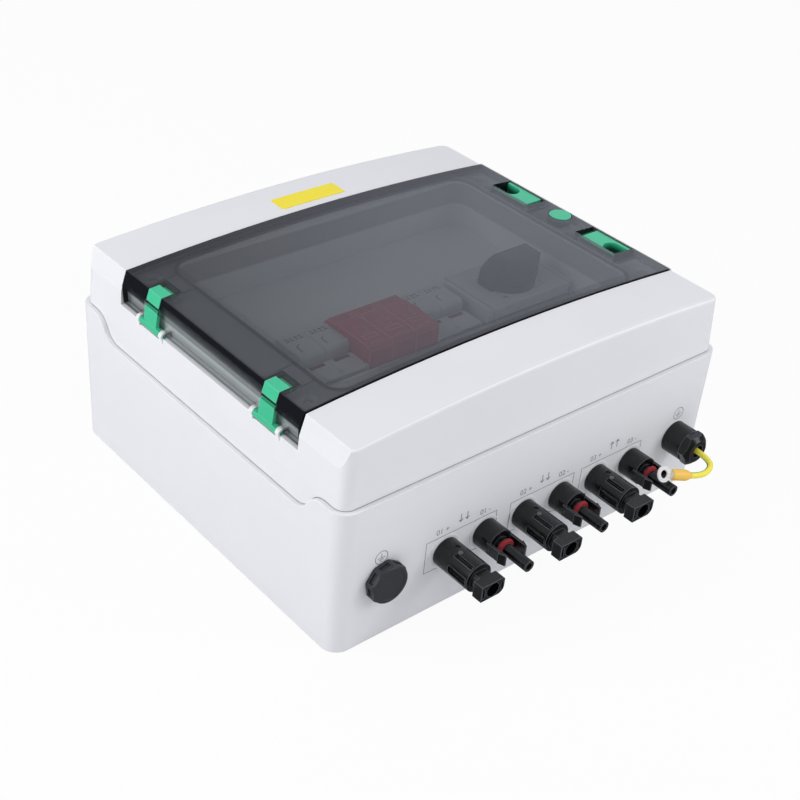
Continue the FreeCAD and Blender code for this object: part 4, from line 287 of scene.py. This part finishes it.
def smoked(name):
    """Smoked clear plastic: dark over the cover, clearer in the window and in the band at the hinges."""
    n = Nodes(name)
    x, y, z = n.xyz()

    def distance(value, centre):
        return n.math("ABSOLUTE", n.math("SUBTRACT", value, centre))

    def blend(share, a, b):
        return n.math("ADD", n.math("MULTIPLY", share, n.math("SUBTRACT", b, a)), a)

    aside_y = n.math("ABSOLUTE", y)
    over_x = n.math("MAXIMUM", n.math("SUBTRACT", distance(x, WINDOW_CENTRE_X), WINDOW_INNER_X), 0.0)
    over_y = n.math("MAXIMUM", n.math("SUBTRACT", aside_y, WINDOW_INNER_Y), 0.0)
    squares = n.math("ADD", n.math("MULTIPLY", over_x, over_x), n.math("MULTIPLY", over_y, over_y))
    border = n.remap(n.math("SQRT", squares), 0.0100, 0.0122, 0.0, 1.0)
    dense = n.ramp(n.remap(x, -0.145, 0.145, 0.0, 1.0), (
        (0.0, 0.38), (0.10, 0.44), (0.20, 0.60), (0.75, 0.60), (0.92, 0.44), (1.0, 0.26)))
    dense = n.math("ADD", dense, n.remap(y, 0.060, 0.085, 0.0, 0.10))
    front = blend(border, WINDOW_DARK, dense)
    height = n.remap(z, 0.1143, 0.1356, 0.0, 1.0)
    between = n.ramp(height, (
        (0.0, 0.12), (0.05, 0.50), (0.08, 0.07), (0.46, 0.05),
        (0.50, 0.02), (0.54, 0.48), (0.80, 0.66), (0.86, 1.0)))
    outer = n.ramp(height, (
        (0.0, 0.20), (0.05, 0.80), (0.08, 0.08), (0.44, 0.12),
        (0.49, 0.30), (0.54, 0.92), (0.74, 1.0), (0.86, 1.0)))
    beyond = n.remap(distance(y, ARM_SPAN_MIDDLE_Y), ARM_SPAN_HALF, ARM_SPAN_HALF + 0.0010, 0.0, 1.0)
    at_end = n.remap(x, FOLD_X, FOLD_X - 0.0004, 0.0, 1.0)
    alpha = blend(at_end, front, blend(beyond, between, outer))
    # Painted shade, with the smoked sheet's own dark edge: the long edge faces and the slot end walls go
    # fully dark.
    rim = n.remap(aside_y, 0.0868, 0.0871, 0.0, 1.0)
    from_end = n.math("MINIMUM", distance(aside_y, SLOT_OUTER_Y), distance(aside_y, SLOT_INNER_Y))
    slot_end_shade = n.remap(from_end, 0.0003, 0.0002, 0.0, 1.0)
    slot_end_shade = n.math("MULTIPLY", slot_end_shade, n.remap(x, SLOT_START_X, SLOT_START_X + 0.0005, 0.0, 1.0))
    alpha = n.math("MAXIMUM", alpha, n.math("MAXIMUM", rim, slot_end_shade))
    cloud = n.remap(n.noise(18.0, 3.0), 0.3, 0.7, 0.9, 1.1)
    tint = n.mix(cloud, (0.005, 0.0055, 0.0075), (0.008, 0.009, 0.012))
    gloss = n.remap(n.noise(35.0), 0.3, 0.7, 0.04, 0.08)
    clear = n.add("ShaderNodeBsdfTransparent")
    clear.inputs["Color"].default_value = (0.95, 0.97, 0.965, 1.0)
    dark = n.principled(Base_Color=tint, Roughness=gloss, Specular_IOR_Level=0.0)
    shine = n.add("ShaderNodeBsdfGlossy")
    n.link(gloss, shine.inputs["Roughness"])
    facing = n.add("ShaderNodeLayerWeight")
    facing.inputs["Blend"].default_value = 0.5
    grazing = n.math("MULTIPLY", n.math("POWER", facing.outputs["Facing"], 5.0), 0.94)
    share = n.math("MULTIPLY", n.math("ADD", grazing, 0.064), n.remap(at_end, 0.0, 1.0, 1.0, 0.2))
    body = n.mix_shader(alpha, clear.outputs[0], dark.outputs[0])
    return n.surface(n.mix_shader(share, body, shine.outputs[0]))


def striped_wire(name):
    """Green insulation with a yellow stripe that winds slowly round it."""
    n = Nodes(name)
    uv = n.add("ShaderNodeTexCoord").outputs["UV"]
    split = n.add("ShaderNodeSeparateXYZ")
    n.link(uv, split.inputs[0])
    along = n.math("MULTIPLY", split.outputs["X"], 0.35)
    turn = n.math("ADD", n.math("ADD", split.outputs["Y"], 0.80), along)
    wave = n.math("ABSOLUTE", n.math("SUBTRACT", n.math("FRACT", turn), 0.5))
    stripe = n.remap(wave, 0.13, 0.17, 0.0, 1.0)
    tint = n.mix(stripe, (0.04, 0.36, 0.10), (1.0, 0.87, 0.09))
    normal = n.bump(n.noise(1500.0), 0.2, 0.00002)
    shader = n.principled(Base_Color=tint, Roughness=0.38, Normal=normal)
    return n.surface(shader.outputs[0])


def ink(name, color):
    """Printed ink, a little uneven."""
    n = Nodes(name)
    tint = n.mix(n.noise(700.0, 2.0), shade(color, 0.8), shade(color, 1.25))
    shader = n.principled(Base_Color=tint, Roughness=0.55)
    return n.surface(shader.outputs[0])


# The edge colours in these finishes are painted highlights along the parts' edges.
SHELL_FINISH = {
    "rough": 0.45, "grain": 1400.0, "depth": 0.00003, "spread": 0.012, "strength": 0.2, "specular": 0.35,
    "edge": WHITE_EDGE_HIGHLIGHT, "lean": SHALLOW_EDGES, "grooves": True,
}
MATERIALS = {
    "white_shell": moulded("white_shell_plastic", WHITE, **SHELL_FINISH),
    "smoked_door": smoked("smoked_clear_plastic"),
    "seal_rubber": rubber("seal_rubber_black", (0.018, 0.018, 0.02)),
    # Painted shade down in the latches' thumb hollows.
    "green_plastic": moulded(
        "green_moulded_plastic", (0.045, 0.56, 0.30), 0.36, 1100.0, shadow=hollow_painted_shade,
        edge=(0.18, 0.74, 0.48), reach=0.0006),
    "zinc_steel": metal("zinc_plated_steel", (0.80, 0.80, 0.78), 0.5),
    "device_grey": moulded(
        "device_light_grey", (0.66, 0.68, 0.69), 0.5, 1300.0, edge=(0.85, 0.87, 0.88), reach=0.0008,
        grooves=True),
    "red_cartridge": moulded(
        "cartridge_red", (0.62, 0.035, 0.065), 0.45, 1300.0, edge=(0.80, 0.30, 0.32), reach=0.0008),
    "fuse_ceramic": moulded("fuse_ceramic_white", (0.80, 0.78, 0.72), 0.3, 700.0),
    "black_plastic": moulded(
        "connector_black", BLACK, 0.28, 1600.0, 0.00002, 0.1, 0.05, 0.42, edge=(0.11, 0.115, 0.13),
        keep=off_dimples),
    "red_seal": rubber("seal_ring_red", (0.30, 0.008, 0.016)),
    "tinned_contact": metal("tinned_contact", (0.93, 0.93, 0.91), 0.35, 0.42),
    "sleeve_plastic": moulded("sleeve_yellow", (1.0, 0.60, 0.10), 0.4, 1200.0),
    "sticker": moulded("sticker_yellow", (1.0, 0.82, 0.02), 0.4, 900.0, 0.00001),
}
DOOR_SEAL = rubber("seal_rubber_grey", (0.045, 0.047, 0.055), (0.22, 0.23, 0.26))
PLUG_BLACK = moulded("plug_black", (0.036, 0.038, 0.043), 0.5, 1500.0)
KNOB_BLACK = moulded("knob_black", (0.012, 0.012, 0.017), 0.34, 400.0, strength=0.01, specular=0.42)
# Cover: painted highlight line along the rounded edge at the top of its near wall.
# Cover: painted shade high on the walls of the window's well.
COVER = moulded("white_cover_plastic", WHITE, shadow=well_painted_shade, crest=crest_painted_highlight, **SHELL_FINISH)
OWN_MATERIALS = {"front_cover": COVER, "door_seal": DOOR_SEAL, "isolator_knob": KNOB_BLACK}
INKS = {
    "grey": ink("print_grey", (0.24, 0.25, 0.27)),
    # Dark ink: painted shade lines on the door, and the dark joint round the plug.
    "dark": ink("door_dark_shade_and_joint", (0.02, 0.021, 0.026)),
    "soft": ink("print_soft_grey", (0.10, 0.105, 0.12)),
    # Grey for the socket dimples: painted highlight.
    "dimple": ink("dimple_painted_highlight", (0.10, 0.11, 0.11)),
    "red": ink("stripe_dark_red", (0.20, 0.012, 0.03)),
    "pale": ink("print_pale_red", (0.62, 0.28, 0.30)),
}
SLOTS = {row["node"]: row["material_slot"] for row in frame["record"]["subparts"]}


def dress(obj, material):
    obj.data.materials.clear()
    obj.data.materials.append(material)


for node, obj in frame["nodes"].items():
    if node == "earth_wire":
        continue
    material = OWN_MATERIALS.get(node) or MATERIALS[SLOTS[node]]
    for index in range(max(1, len(obj.material_slots))):
        if obj.material_slots:
            obj.material_slots[index].material = material
        else:
            obj.data.materials.append(material)


# Earth wire

WIRE_POINTS = [
    (120.0, -150.8, 42.5),
    (120.0, -159.0, 42.5),
    (118.0, -167.0, 40.5),
    (105.7, -170.0, 40.1),
    (95.9, -167.4, 43.1),
]
WIRE_RADIUS = 1.9


def nurbs_line(name, points, bevel):
    curve = bpy.data.curves.new(name, "CURVE")
    curve.dimensions = "3D"
    spline = curve.splines.new("NURBS")
    spline.points.add(len(points) - 1)
    for point, place in zip(spline.points, points):
        point.co = (*(c * MM for c in place), 1.0)
    spline.order_u = 3
    spline.use_endpoint_u = True
    spline.resolution_u = 24
    curve.bevel_depth = bevel * MM
    curve.bevel_resolution = 8
    curve.use_fill_caps = True
    obj = bpy.data.objects.new(name, curve)
    bpy.context.scene.collection.objects.link(obj)
    return obj


def line_length(obj):
    """Length of a curve's own line."""
    bare = obj.data.copy()
    bare.bevel_depth = 0.0
    probe = bpy.data.objects.new("probe", bare)
    bpy.context.scene.collection.objects.link(probe)
    bpy.context.view_layer.update()
    mesh = bpy.data.meshes.new_from_object(probe)
    places = [v.co.copy() for v in mesh.vertices]
    bpy.data.objects.remove(probe)
    return sum((b - a).length for a, b in zip(places, places[1:]))


# Prints and fine lines, laid on the surfaces that carry them

TREES = {}


def surface_tree(node):
    if node not in TREES:
        mesh = frame["nodes"][node].data
        TREES[node] = BVHTree.FromPolygons([v.co for v in mesh.vertices], [p.vertices for p in mesh.polygons])
    return TREES[node]


class Print:
    """Flat shapes in millimetres, gathered and then laid on a node's surface."""

    def __init__(self):
        self.verts = []
        self.faces = []

    def ribbon(self, points, width, closed=False, step=3.0):
        points = [Vector(p) for p in points]
        dense = []
        count = len(points) if closed else len(points) - 1
        for i in range(count):
            a, b = points[i], points[(i + 1) % len(points)]
            parts = max(1, math.ceil((b - a).length / step))
            dense += [a.lerp(b, k / parts) for k in range(parts)]
        if not closed:
            dense.append(points[-1])
        start, total = len(self.verts), len(dense)
        for i, point in enumerate(dense):
            before = dense[i - 1] if i or closed else point
            after = dense[(i + 1) % total] if i < total - 1 or closed else point
            first = (point - before).normalized() if point != before else (after - point).normalized()
            second = (after - point).normalized() if after != point else first
            side = Vector((-first.y - second.y, first.x + second.x)).normalized()
            reach = width / 2 / max(0.5, side.dot(Vector((-first.y, first.x))))
            self.verts += [point + side * reach, point - side * reach]
        for i in range(total if closed else total - 1):
            a, b = start + 2 * i, start + 2 * ((i + 1) % total)
            self.faces.append((a, a + 1, b + 1, b))
        return self

    def box(self, low, high):
        middle = (low[1] + high[1]) / 2
        return self.ribbon([(low[0], middle), (high[0], middle)], high[1] - low[1])

    def frame(self, low, high, width):
        corners = [low, (high[0], low[1]), high, (low[0], high[1])]
        return self.ribbon(corners, width, True)

    def circle(self, centre, radius, width, parts=32):
        turns = [math.radians(360.0 * i / parts) for i in range(parts)]
        ring = [(centre[0] + radius * math.cos(t), centre[1] + radius * math.sin(t)) for t in turns]
        return self.ribbon(ring, width, True)

    def words(self, text, centre, height):
        curve = bpy.data.curves.new("words", "FONT")
        curve.body = text
        curve.size = height / 0.72
        curve.align_x = "CENTER"
        curve.resolution_u = 3
        probe = bpy.data.objects.new("words", curve)
        bpy.context.scene.collection.objects.link(probe)
        bpy.context.view_layer.update()
        mesh = bpy.data.meshes.new_from_object(probe)
        start = len(self.verts)
        self.verts += [Vector((v.co.x + centre[0], v.co.y + centre[1] - height / 2)) for v in mesh.vertices]
        self.faces += [tuple(start + i for i in p.vertices) for p in mesh.polygons]
        bpy.data.objects.remove(probe)
        return self

    def lay(self, name, node, facing, paint, body, slot, lift=0.05):
        """Drop the shapes on the node, as seen from -Y for "wall" or from +Z for "top".

        Faces that miss the node are left out."""
        mesh = bpy.data.meshes.new(name)
        shape = bmesh.new()
        places = []
        for vert in self.verts:
            if facing == "wall":
                start, way = Vector((vert.x * MM, -0.3, vert.y * MM)), Vector((0, 1, 0))
            else:
                start, way = Vector((vert.x * MM, vert.y * MM, 0.3)), Vector((0, 0, -1))
            place = surface_tree(node).ray_cast(start, way)[0]
            places.append(place and shape.verts.new(place - way * lift * MM))
        for face in self.faces:
            if all(places[i] for i in face):
                shape.faces.new([places[i] for i in face])
        bmesh.ops.remove_doubles(shape, verts=shape.verts, dist=0.000001)
        shape.normal_update()
        out = Vector((0, -1, 0)) if facing == "wall" else Vector((0, 0, 1))
        bmesh.ops.reverse_faces(shape, faces=[f for f in shape.faces if f.normal.dot(out) < 0])
        shape.to_mesh(mesh)
        shape.free()
        obj = bpy.data.objects.new(name, mesh)
        bpy.context.scene.collection.objects.link(obj)
        dress(obj, INKS[paint])
        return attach(obj, body)


def earth_sign(shapes, centre, radius):
    x, y = centre
    shapes.circle(centre, radius, 0.45)
    shapes.ribbon([(x, y + radius * 0.62), (x, y - radius * 0.05)], 0.45)
    for half, drop in ((0.60, 0.05), (0.38, 0.34), (0.16, 0.63)):
        shapes.ribbon([(x - radius * half, y - radius * drop), (x + radius * half, y - radius * drop)], 0.45)


PORT_FRAMES = ((-87.0, -33.9, "1"), (-22.8, 29.3, "2"), (35.7, 88.6, "3"))
FRAME_LOW, FRAME_HIGH = 29.3, 51.3
MARK_Z, MARK_HEIGHT = 55.6, 3.8
ARROW_LOW, ARROW_HIGH, ARROW_HEAD = 56.0, 61.4, 1.7


def make_wall_prints():
    """Frames round the pairs of ports, plain numbers with signs, and earth signs."""
    lines, marks = Print(), Print()
    for low, high, number in PORT_FRAMES:
        lines.frame((low, FRAME_LOW), (high, FRAME_HIGH), 0.4)
        marks.words("0" + number + " +", (low + 11.5, MARK_Z), MARK_HEIGHT)
        marks.words("0" + number + " -", (high - 9.5, MARK_Z), MARK_HEIGHT)
        middle = (low + high) / 2 + 0.5
        tip, away = (ARROW_HIGH, -ARROW_HEAD) if number == "3" else (ARROW_LOW, ARROW_HEAD)
        for x in (middle - 2.4, middle + 2.4):
            marks.ribbon([(x, ARROW_LOW), (x, ARROW_HIGH)], 0.65)
            marks.ribbon([(x - 1.5, tip + away), (x, tip), (x + 1.5, tip + away)], 0.65)
    earth_sign(marks, (-119.8, 57.6), 4.3)
    earth_sign(marks, (121.4, 58.9), 4.3)
    lines.lay("port_frames", "base_shell", "wall", "grey", "case", "white_shell")
    marks.lay("port_marks", "base_shell", "wall", "grey", "case", "white_shell")


ARM_CENTRES = (55.6, -59.2)
CREASE_SPANS = ((-87.0, -66.9), (-51.5, 47.9), (63.3, 87.0))
PLUG_CENTRE = (134.0, 1.1)


def make_door_lines():
    """Painted shade laid on the door: lines at the moulded steps behind the hinge arms, dark edges of the
    notches and the fold; and a dark joint ring round the plug.
    """
    lines = Print()
    for centre in ARM_CENTRES:
        for side in (-1, 1):
            y = centre + 9.6 * side
            lines.ribbon([(-141.4, y), (-119.2, y)], 0.45)
        low, high = centre - 7.7, centre + 7.7
        lines.ribbon([(-142.0, low), (-130.0, low), (-130.0, high), (-142.0, high)], 1.5)
    for low, high in CREASE_SPANS:
        lines.ribbon([(-141.7, low), (-141.7, high)], 0.9)
    lines.circle(PLUG_CENTRE, 7.75, 0.4)
    lines.lay("door_shade_and_joint_lines", "door", "top", "dark", "door", "smoked_door", 0.03)


DRAWER_LEFTS = (-89.0, -71.0, 1.0, 19.0)
CARTRIDGE_LEFTS = (-52.8, -34.8, -16.8)
DIAL_CENTRE = (78.0, -11.5)


def make_device_prints():
    """Stripes and small marks on the fuse drawers, frames on the cartridges and a dial on the isolator."""
    for i, left in enumerate(DRAWER_LEFTS, 1):
        name = "fuse_drawer_%d" % i
        stripe = Print().box((left + 3.6, -20.4), (left + 14.4, -17.2))
        stripe.lay(name + "_stripe", name, "top", "red", name, "device_grey", 0.1)
        marks = Print()
        for row, y in enumerate((3.4, 5.6)):
            for k in range(4):
                x = left + 3.2 + 3.2 * k
                marks.box((x, y - 0.5), (x + (1.6 if (k + row) % 3 else 2.4), y + 0.5))
        marks.ribbon([(left + 5.0, -10.0), (left + 5.0, -4.0)], 0.7)
        marks.ribbon([(left + 5.0, -4.0), (left + 8.0, -2.0)], 0.6)
        marks.lay(name + "_marks", name, "top", "soft", name, "device_grey", 0.06)
    for i, left in enumerate(CARTRIDGE_LEFTS, 1):
        name = "surge_cartridge_%d" % i
        pale = Print()
        pale.frame((left + 4.0, -24.0), (left + 13.6, -20.0), 0.5)
        pale.box((left + 4.0, -29.4), (left + 13.6, -28.8))
        pale.lay(name + "_marks", name, "top", "pale", "case", "red_cartridge", 0.06)
    dial = Print()
    x, y = DIAL_CENTRE
    for turn in range(0, 360, 30):
        t = math.radians(turn)
        dial.ribbon([(x + r * math.cos(t), y + r * math.sin(t)) for r in (19.0, 20.6)], 0.6)
    dial.words("1", (x + 25.0, y), 4.0)
    dial.words("0", (x, y + 25.0), 4.0)
    dial.words("0", (x, y - 26.0), 4.0)
    dial.frame((x - 33.0, y - 38.0), (x + 33.0, y + 38.0), 0.5)
    dial.lay("isolator_dial", "isolator_body", "top", "grey", "case", "device_grey", 0.06)


# Turned pieces

def turned(name, rings, start, along, material, replaces, parts):
    """Mesh lathed along a direction from start, on the case; rings give (distance, radius or function)."""
    along = Vector(along).normalized()
    across = along.orthogonal() if abs(along.z) > 0.9 else Vector((0, 0, 1)).cross(along)
    across.normalize()
    up = along.cross(across)
    mesh = bpy.data.meshes.new(name)
    shape = bmesh.new()
    loops = []
    for distance, radius in rings:
        loop = []
        for i in range(parts):
            t = 2 * math.pi * i / parts
            r = radius(t) if callable(radius) else radius
            place = Vector(start) + along * distance + (across * math.cos(t) + up * math.sin(t)) * r
            loop.append(shape.verts.new(place * MM))
        loops.append(loop)
    for a, b in zip(loops, loops[1:]):
        for i in range(parts):
            k = (i + 1) % parts
            shape.faces.new((a[i], a[k], b[k], b[i]))
    shape.faces.new(loops[0][::-1])
    shape.faces.new(loops[-1])
    bmesh.ops.recalc_face_normals(shape, faces=shape.faces)
    for face in shape.faces:
        face.smooth = True
    for edge in shape.edges:
        if len(edge.link_faces) == 2 and edge.calc_face_angle() > math.radians(22):
            edge.smooth = False
    shape.to_mesh(mesh)
    shape.free()
    obj = bpy.data.objects.new(name, mesh)
    bpy.context.scene.collection.objects.link(obj)
    dress(obj, material)
    if replaces:
        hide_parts(replaces)
    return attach(obj, "case")


def make_blank_plug():
    """Eight-sided blanking plug with grip slots and a round chamfered face, and its threaded shank."""
    flat, corner, face_radius, thick = 12.0, 12.7, 11.3, 7.0

    def side(cone, slot):
        def radius(t):
            turn = (t + math.radians(11.0)) % (math.pi / 4) - math.pi / 8
            r = min(flat / math.cos(turn), corner)
            if slot and abs(turn) < math.radians(14.0):
                r -= 1.0
            return min(r, cone)
        return radius

    rings = [(-17.3, 7.2), (-17.0, 7.6)]
    rings += [(-16.5 + 0.75 * k, 7.6 if k % 2 else 7.95) for k in range(21)]
    rings += [(-0.4, 7.6), (-0.02, 7.6), (0.0, side(99, False)), (1.6, side(99, False))]
    rings += [(1.7, side(99, True)), (4.4, side(99, True)), (4.5, side(99, False)), (5.3, side(99, False))]
    rings += [(6.4, side(11.9, False)), (6.8, 11.6), (thick, face_radius), (thick, 9.6)]
    rings += [(thick - 0.25, 9.3), (thick - 0.25, 0.5)]
    turned(
        "blank_plug_ribbed", rings, (-117.5, -132.4, 41.7), (0, -1, 0),
        PLUG_BLACK, "blank_plug", 144,
    )


def make_sleeve():
    """Soft sleeve shrunk over the crimp, from the wire up to the ring's neck."""
    rings = [(0.0, 1.95), (0.05, 2.2), (1.0, 2.45), (2.6, 3.15), (3.8, 3.42), (5.0, 3.5)]
    rings += [(13.6, 3.45), (14.6, 3.4), (15.2, 3.2), (15.4, 2.9), (15.2, 2.5)]
    return turned(
        "wire_sleeve_soft", rings, WIRE_POINTS[-1], (-0.9268, 0.2459, 0.2837),
        MATERIALS["sleeve_plastic"], "wire_sleeve", 64,
    )


SOCKET_XS = (-72.3, -11.5, 49.3)


def make_dimples():
    """Moulded dimple on top of each socket barrel, in grey as a painted highlight."""
    lean = math.radians(-10.0)
    out = Vector((math.sin(lean), 0.0, math.cos(lean)))
    rings = [(0.0, 1.5), (0.25, 1.42), (0.4, 1.1), (0.32, 0.8), (0.22, 0.3)]
    for i, x in enumerate(SOCKET_XS, 1):
        seat = Vector((x, -145.9, 39.6)) + out * 9.05
        turned("socket_%d_dimple" % i, rings, seat, out, INKS["dimple"], None, 24)


wire = nurbs_line("earth_wire_insulation", WIRE_POINTS, WIRE_RADIUS)
dress(wire, striped_wire("earth_wire_green_yellow"))
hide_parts("earth_wire")
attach(wire, "case")
round(line_length(wire), 4)
make_sleeve()

make_blank_plug()
make_dimples()
make_wall_prints()
make_door_lines()
make_device_prints()


# Stage: floor, light and camera

def make_floor():
    """White floor under the back face; shiny surfaces mirror it dim."""
    mesh = bpy.data.meshes.new("floor")
    shape = bmesh.new()
    half, below = 6.0, -0.0002
    corners = ((-half, -half), (half, -half), (half, half), (-half, half))
    shape.faces.new([shape.verts.new((x, y, below)) for x, y in corners])
    shape.to_mesh(mesh)
    shape.free()
    floor = bpy.data.objects.new("floor", mesh)
    bpy.context.scene.collection.objects.link(floor)
    n = Nodes("floor_white")
    diffuse = n.add("ShaderNodeBsdfDiffuse")
    diffuse.inputs["Color"].default_value = (0.82, 0.82, 0.83, 1)
    glow = n.add("ShaderNodeEmission")
    glow.inputs["Color"].default_value = (1, 1, 1, 1)
    path = n.add("ShaderNodeLightPath")
    share = n.math("MULTIPLY", path.outputs["Is Camera Ray"], 0.93)
    lit = n.mix_shader(share, diffuse.outputs[0], glow.outputs[0])
    dim = n.add("ShaderNodeEmission")
    dim.inputs["Color"].default_value = (0.20, 0.20, 0.22, 1)
    floor.data.materials.append(n.surface(n.mix_shader(path.outputs["Is Glossy Ray"], lit, dim.outputs[0])))


def make_world():
    """Soft white room, dimmer towards -X and +Y; shiny surfaces mirror a darker one with a bright end."""
    world = bpy.data.worlds.new("studio")
    bpy.context.scene.world = world
    world.use_nodes = True
    tree = world.node_tree
    tree.nodes.clear()
    output = tree.nodes.new("ShaderNodeOutputWorld")
    place = tree.nodes.new("ShaderNodeTexCoord").outputs["Generated"]

    def toward(direction, values):
        lean = tree.nodes.new("ShaderNodeVectorMath")
        lean.operation = "DOT_PRODUCT"
        lean.inputs[1].default_value = direction
        tree.links.new(place, lean.inputs[0])
        share = tree.nodes.new("ShaderNodeMapRange")
        for key, value in zip(("From Min", "From Max", "To Min", "To Max"), values):
            share.inputs[key].default_value = value
        tree.links.new(lean.outputs["Value"], share.inputs["Value"])
        return share.outputs["Result"]

    def sky(color, strength):
        node = tree.nodes.new("ShaderNodeBackground")
        node.inputs["Color"].default_value = (*color, 1)
        if isinstance(strength, float):
            node.inputs["Strength"].default_value = strength
        else:
            tree.links.new(strength, node.inputs["Strength"])
        return node.outputs[0]

    def choose(ray, a, b):
        node = tree.nodes.new("ShaderNodeMixShader")
        tree.links.new(path.outputs[ray], node.inputs[0])
        tree.links.new(a, node.inputs[1])
        tree.links.new(b, node.inputs[2])
        return node.outputs[0]

    path = tree.nodes.new("ShaderNodeLightPath")
    soft = sky((0.96, 0.97, 1.0), toward((-0.79, 0.60, 0.12), (0.35, 0.80, 0.72, 0.06)))
    mirrored = sky((0.83, 0.86, 1.0), toward((0.68, 0.44, 0.58), (0.84, 0.965, 0.20, 1.10)))
    seen = sky((1, 1, 1), 1.0)
    unseen = choose("Is Glossy Ray", soft, mirrored)
    tree.links.new(choose("Is Camera Ray", unseen, seen), output.inputs["Surface"])


def make_lamp(name, place, size, power):
    """Square area lamp that faces the part."""
    light = bpy.data.lights.new(name, "AREA")
    light.shape = "RECTANGLE"
    light.size = light.size_y = size
    light.energy = power
    lamp = bpy.data.objects.new(name, light)
    bpy.context.scene.collection.objects.link(lamp)
    lamp.location = place
    direction = Vector((0, 0, 0.05)) - Vector(place)
    lamp.rotation_euler = direction.to_track_quat("-Z", "Y").to_euler()


AZIMUTH, ELEVATION, ROLL = (math.radians(v) for v in (-42.817, 34.031, 5.301))
DISTANCE, SHIFT_X, SHIFT_Y, TARGET_Z = 0.924559, -0.001517, 0.025344, 0.07
FOCAL_PIXELS, FRAME_PIXELS = 1462.94, 800


def make_camera():
    """Camera solved from the photograph."""
    sin_a, cos_a = math.sin(AZIMUTH), math.cos(AZIMUTH)
    sin_e, cos_e = math.sin(ELEVATION), math.cos(ELEVATION)
    back = Vector((sin_a * cos_e, -cos_a * cos_e, sin_e))
    right = Vector((cos_a, sin_a, 0))
    up = back.cross(right)
    turned_right = right * math.cos(ROLL) + up * math.sin(ROLL)
    turned_up = up * math.cos(ROLL) - right * math.sin(ROLL)
    data = bpy.data.cameras.new("camera")
    data.sensor_width = 36.0
    data.lens = FOCAL_PIXELS / FRAME_PIXELS * data.sensor_width
    data.clip_start = 0.01
    camera = bpy.data.objects.new("camera", data)
    bpy.context.scene.collection.objects.link(camera)
    target = Vector((0, 0, TARGET_Z))
    place = target - turned_right * SHIFT_X - turned_up * SHIFT_Y + back * DISTANCE
    turn = Matrix((turned_right, turned_up, back)).transposed()
    camera.matrix_world = Matrix.Translation(place) @ turn.to_4x4()
    bpy.context.scene.camera = camera


make_floor()
make_world()
make_lamp("key", (-1.5, 0.5, 0.95), 1.2, 20.0)
make_lamp("fill", (0.62, -0.85, 0.60), 0.5, 3.0)
make_camera()
bpy.context.scene.view_settings.view_transform = "Standard"
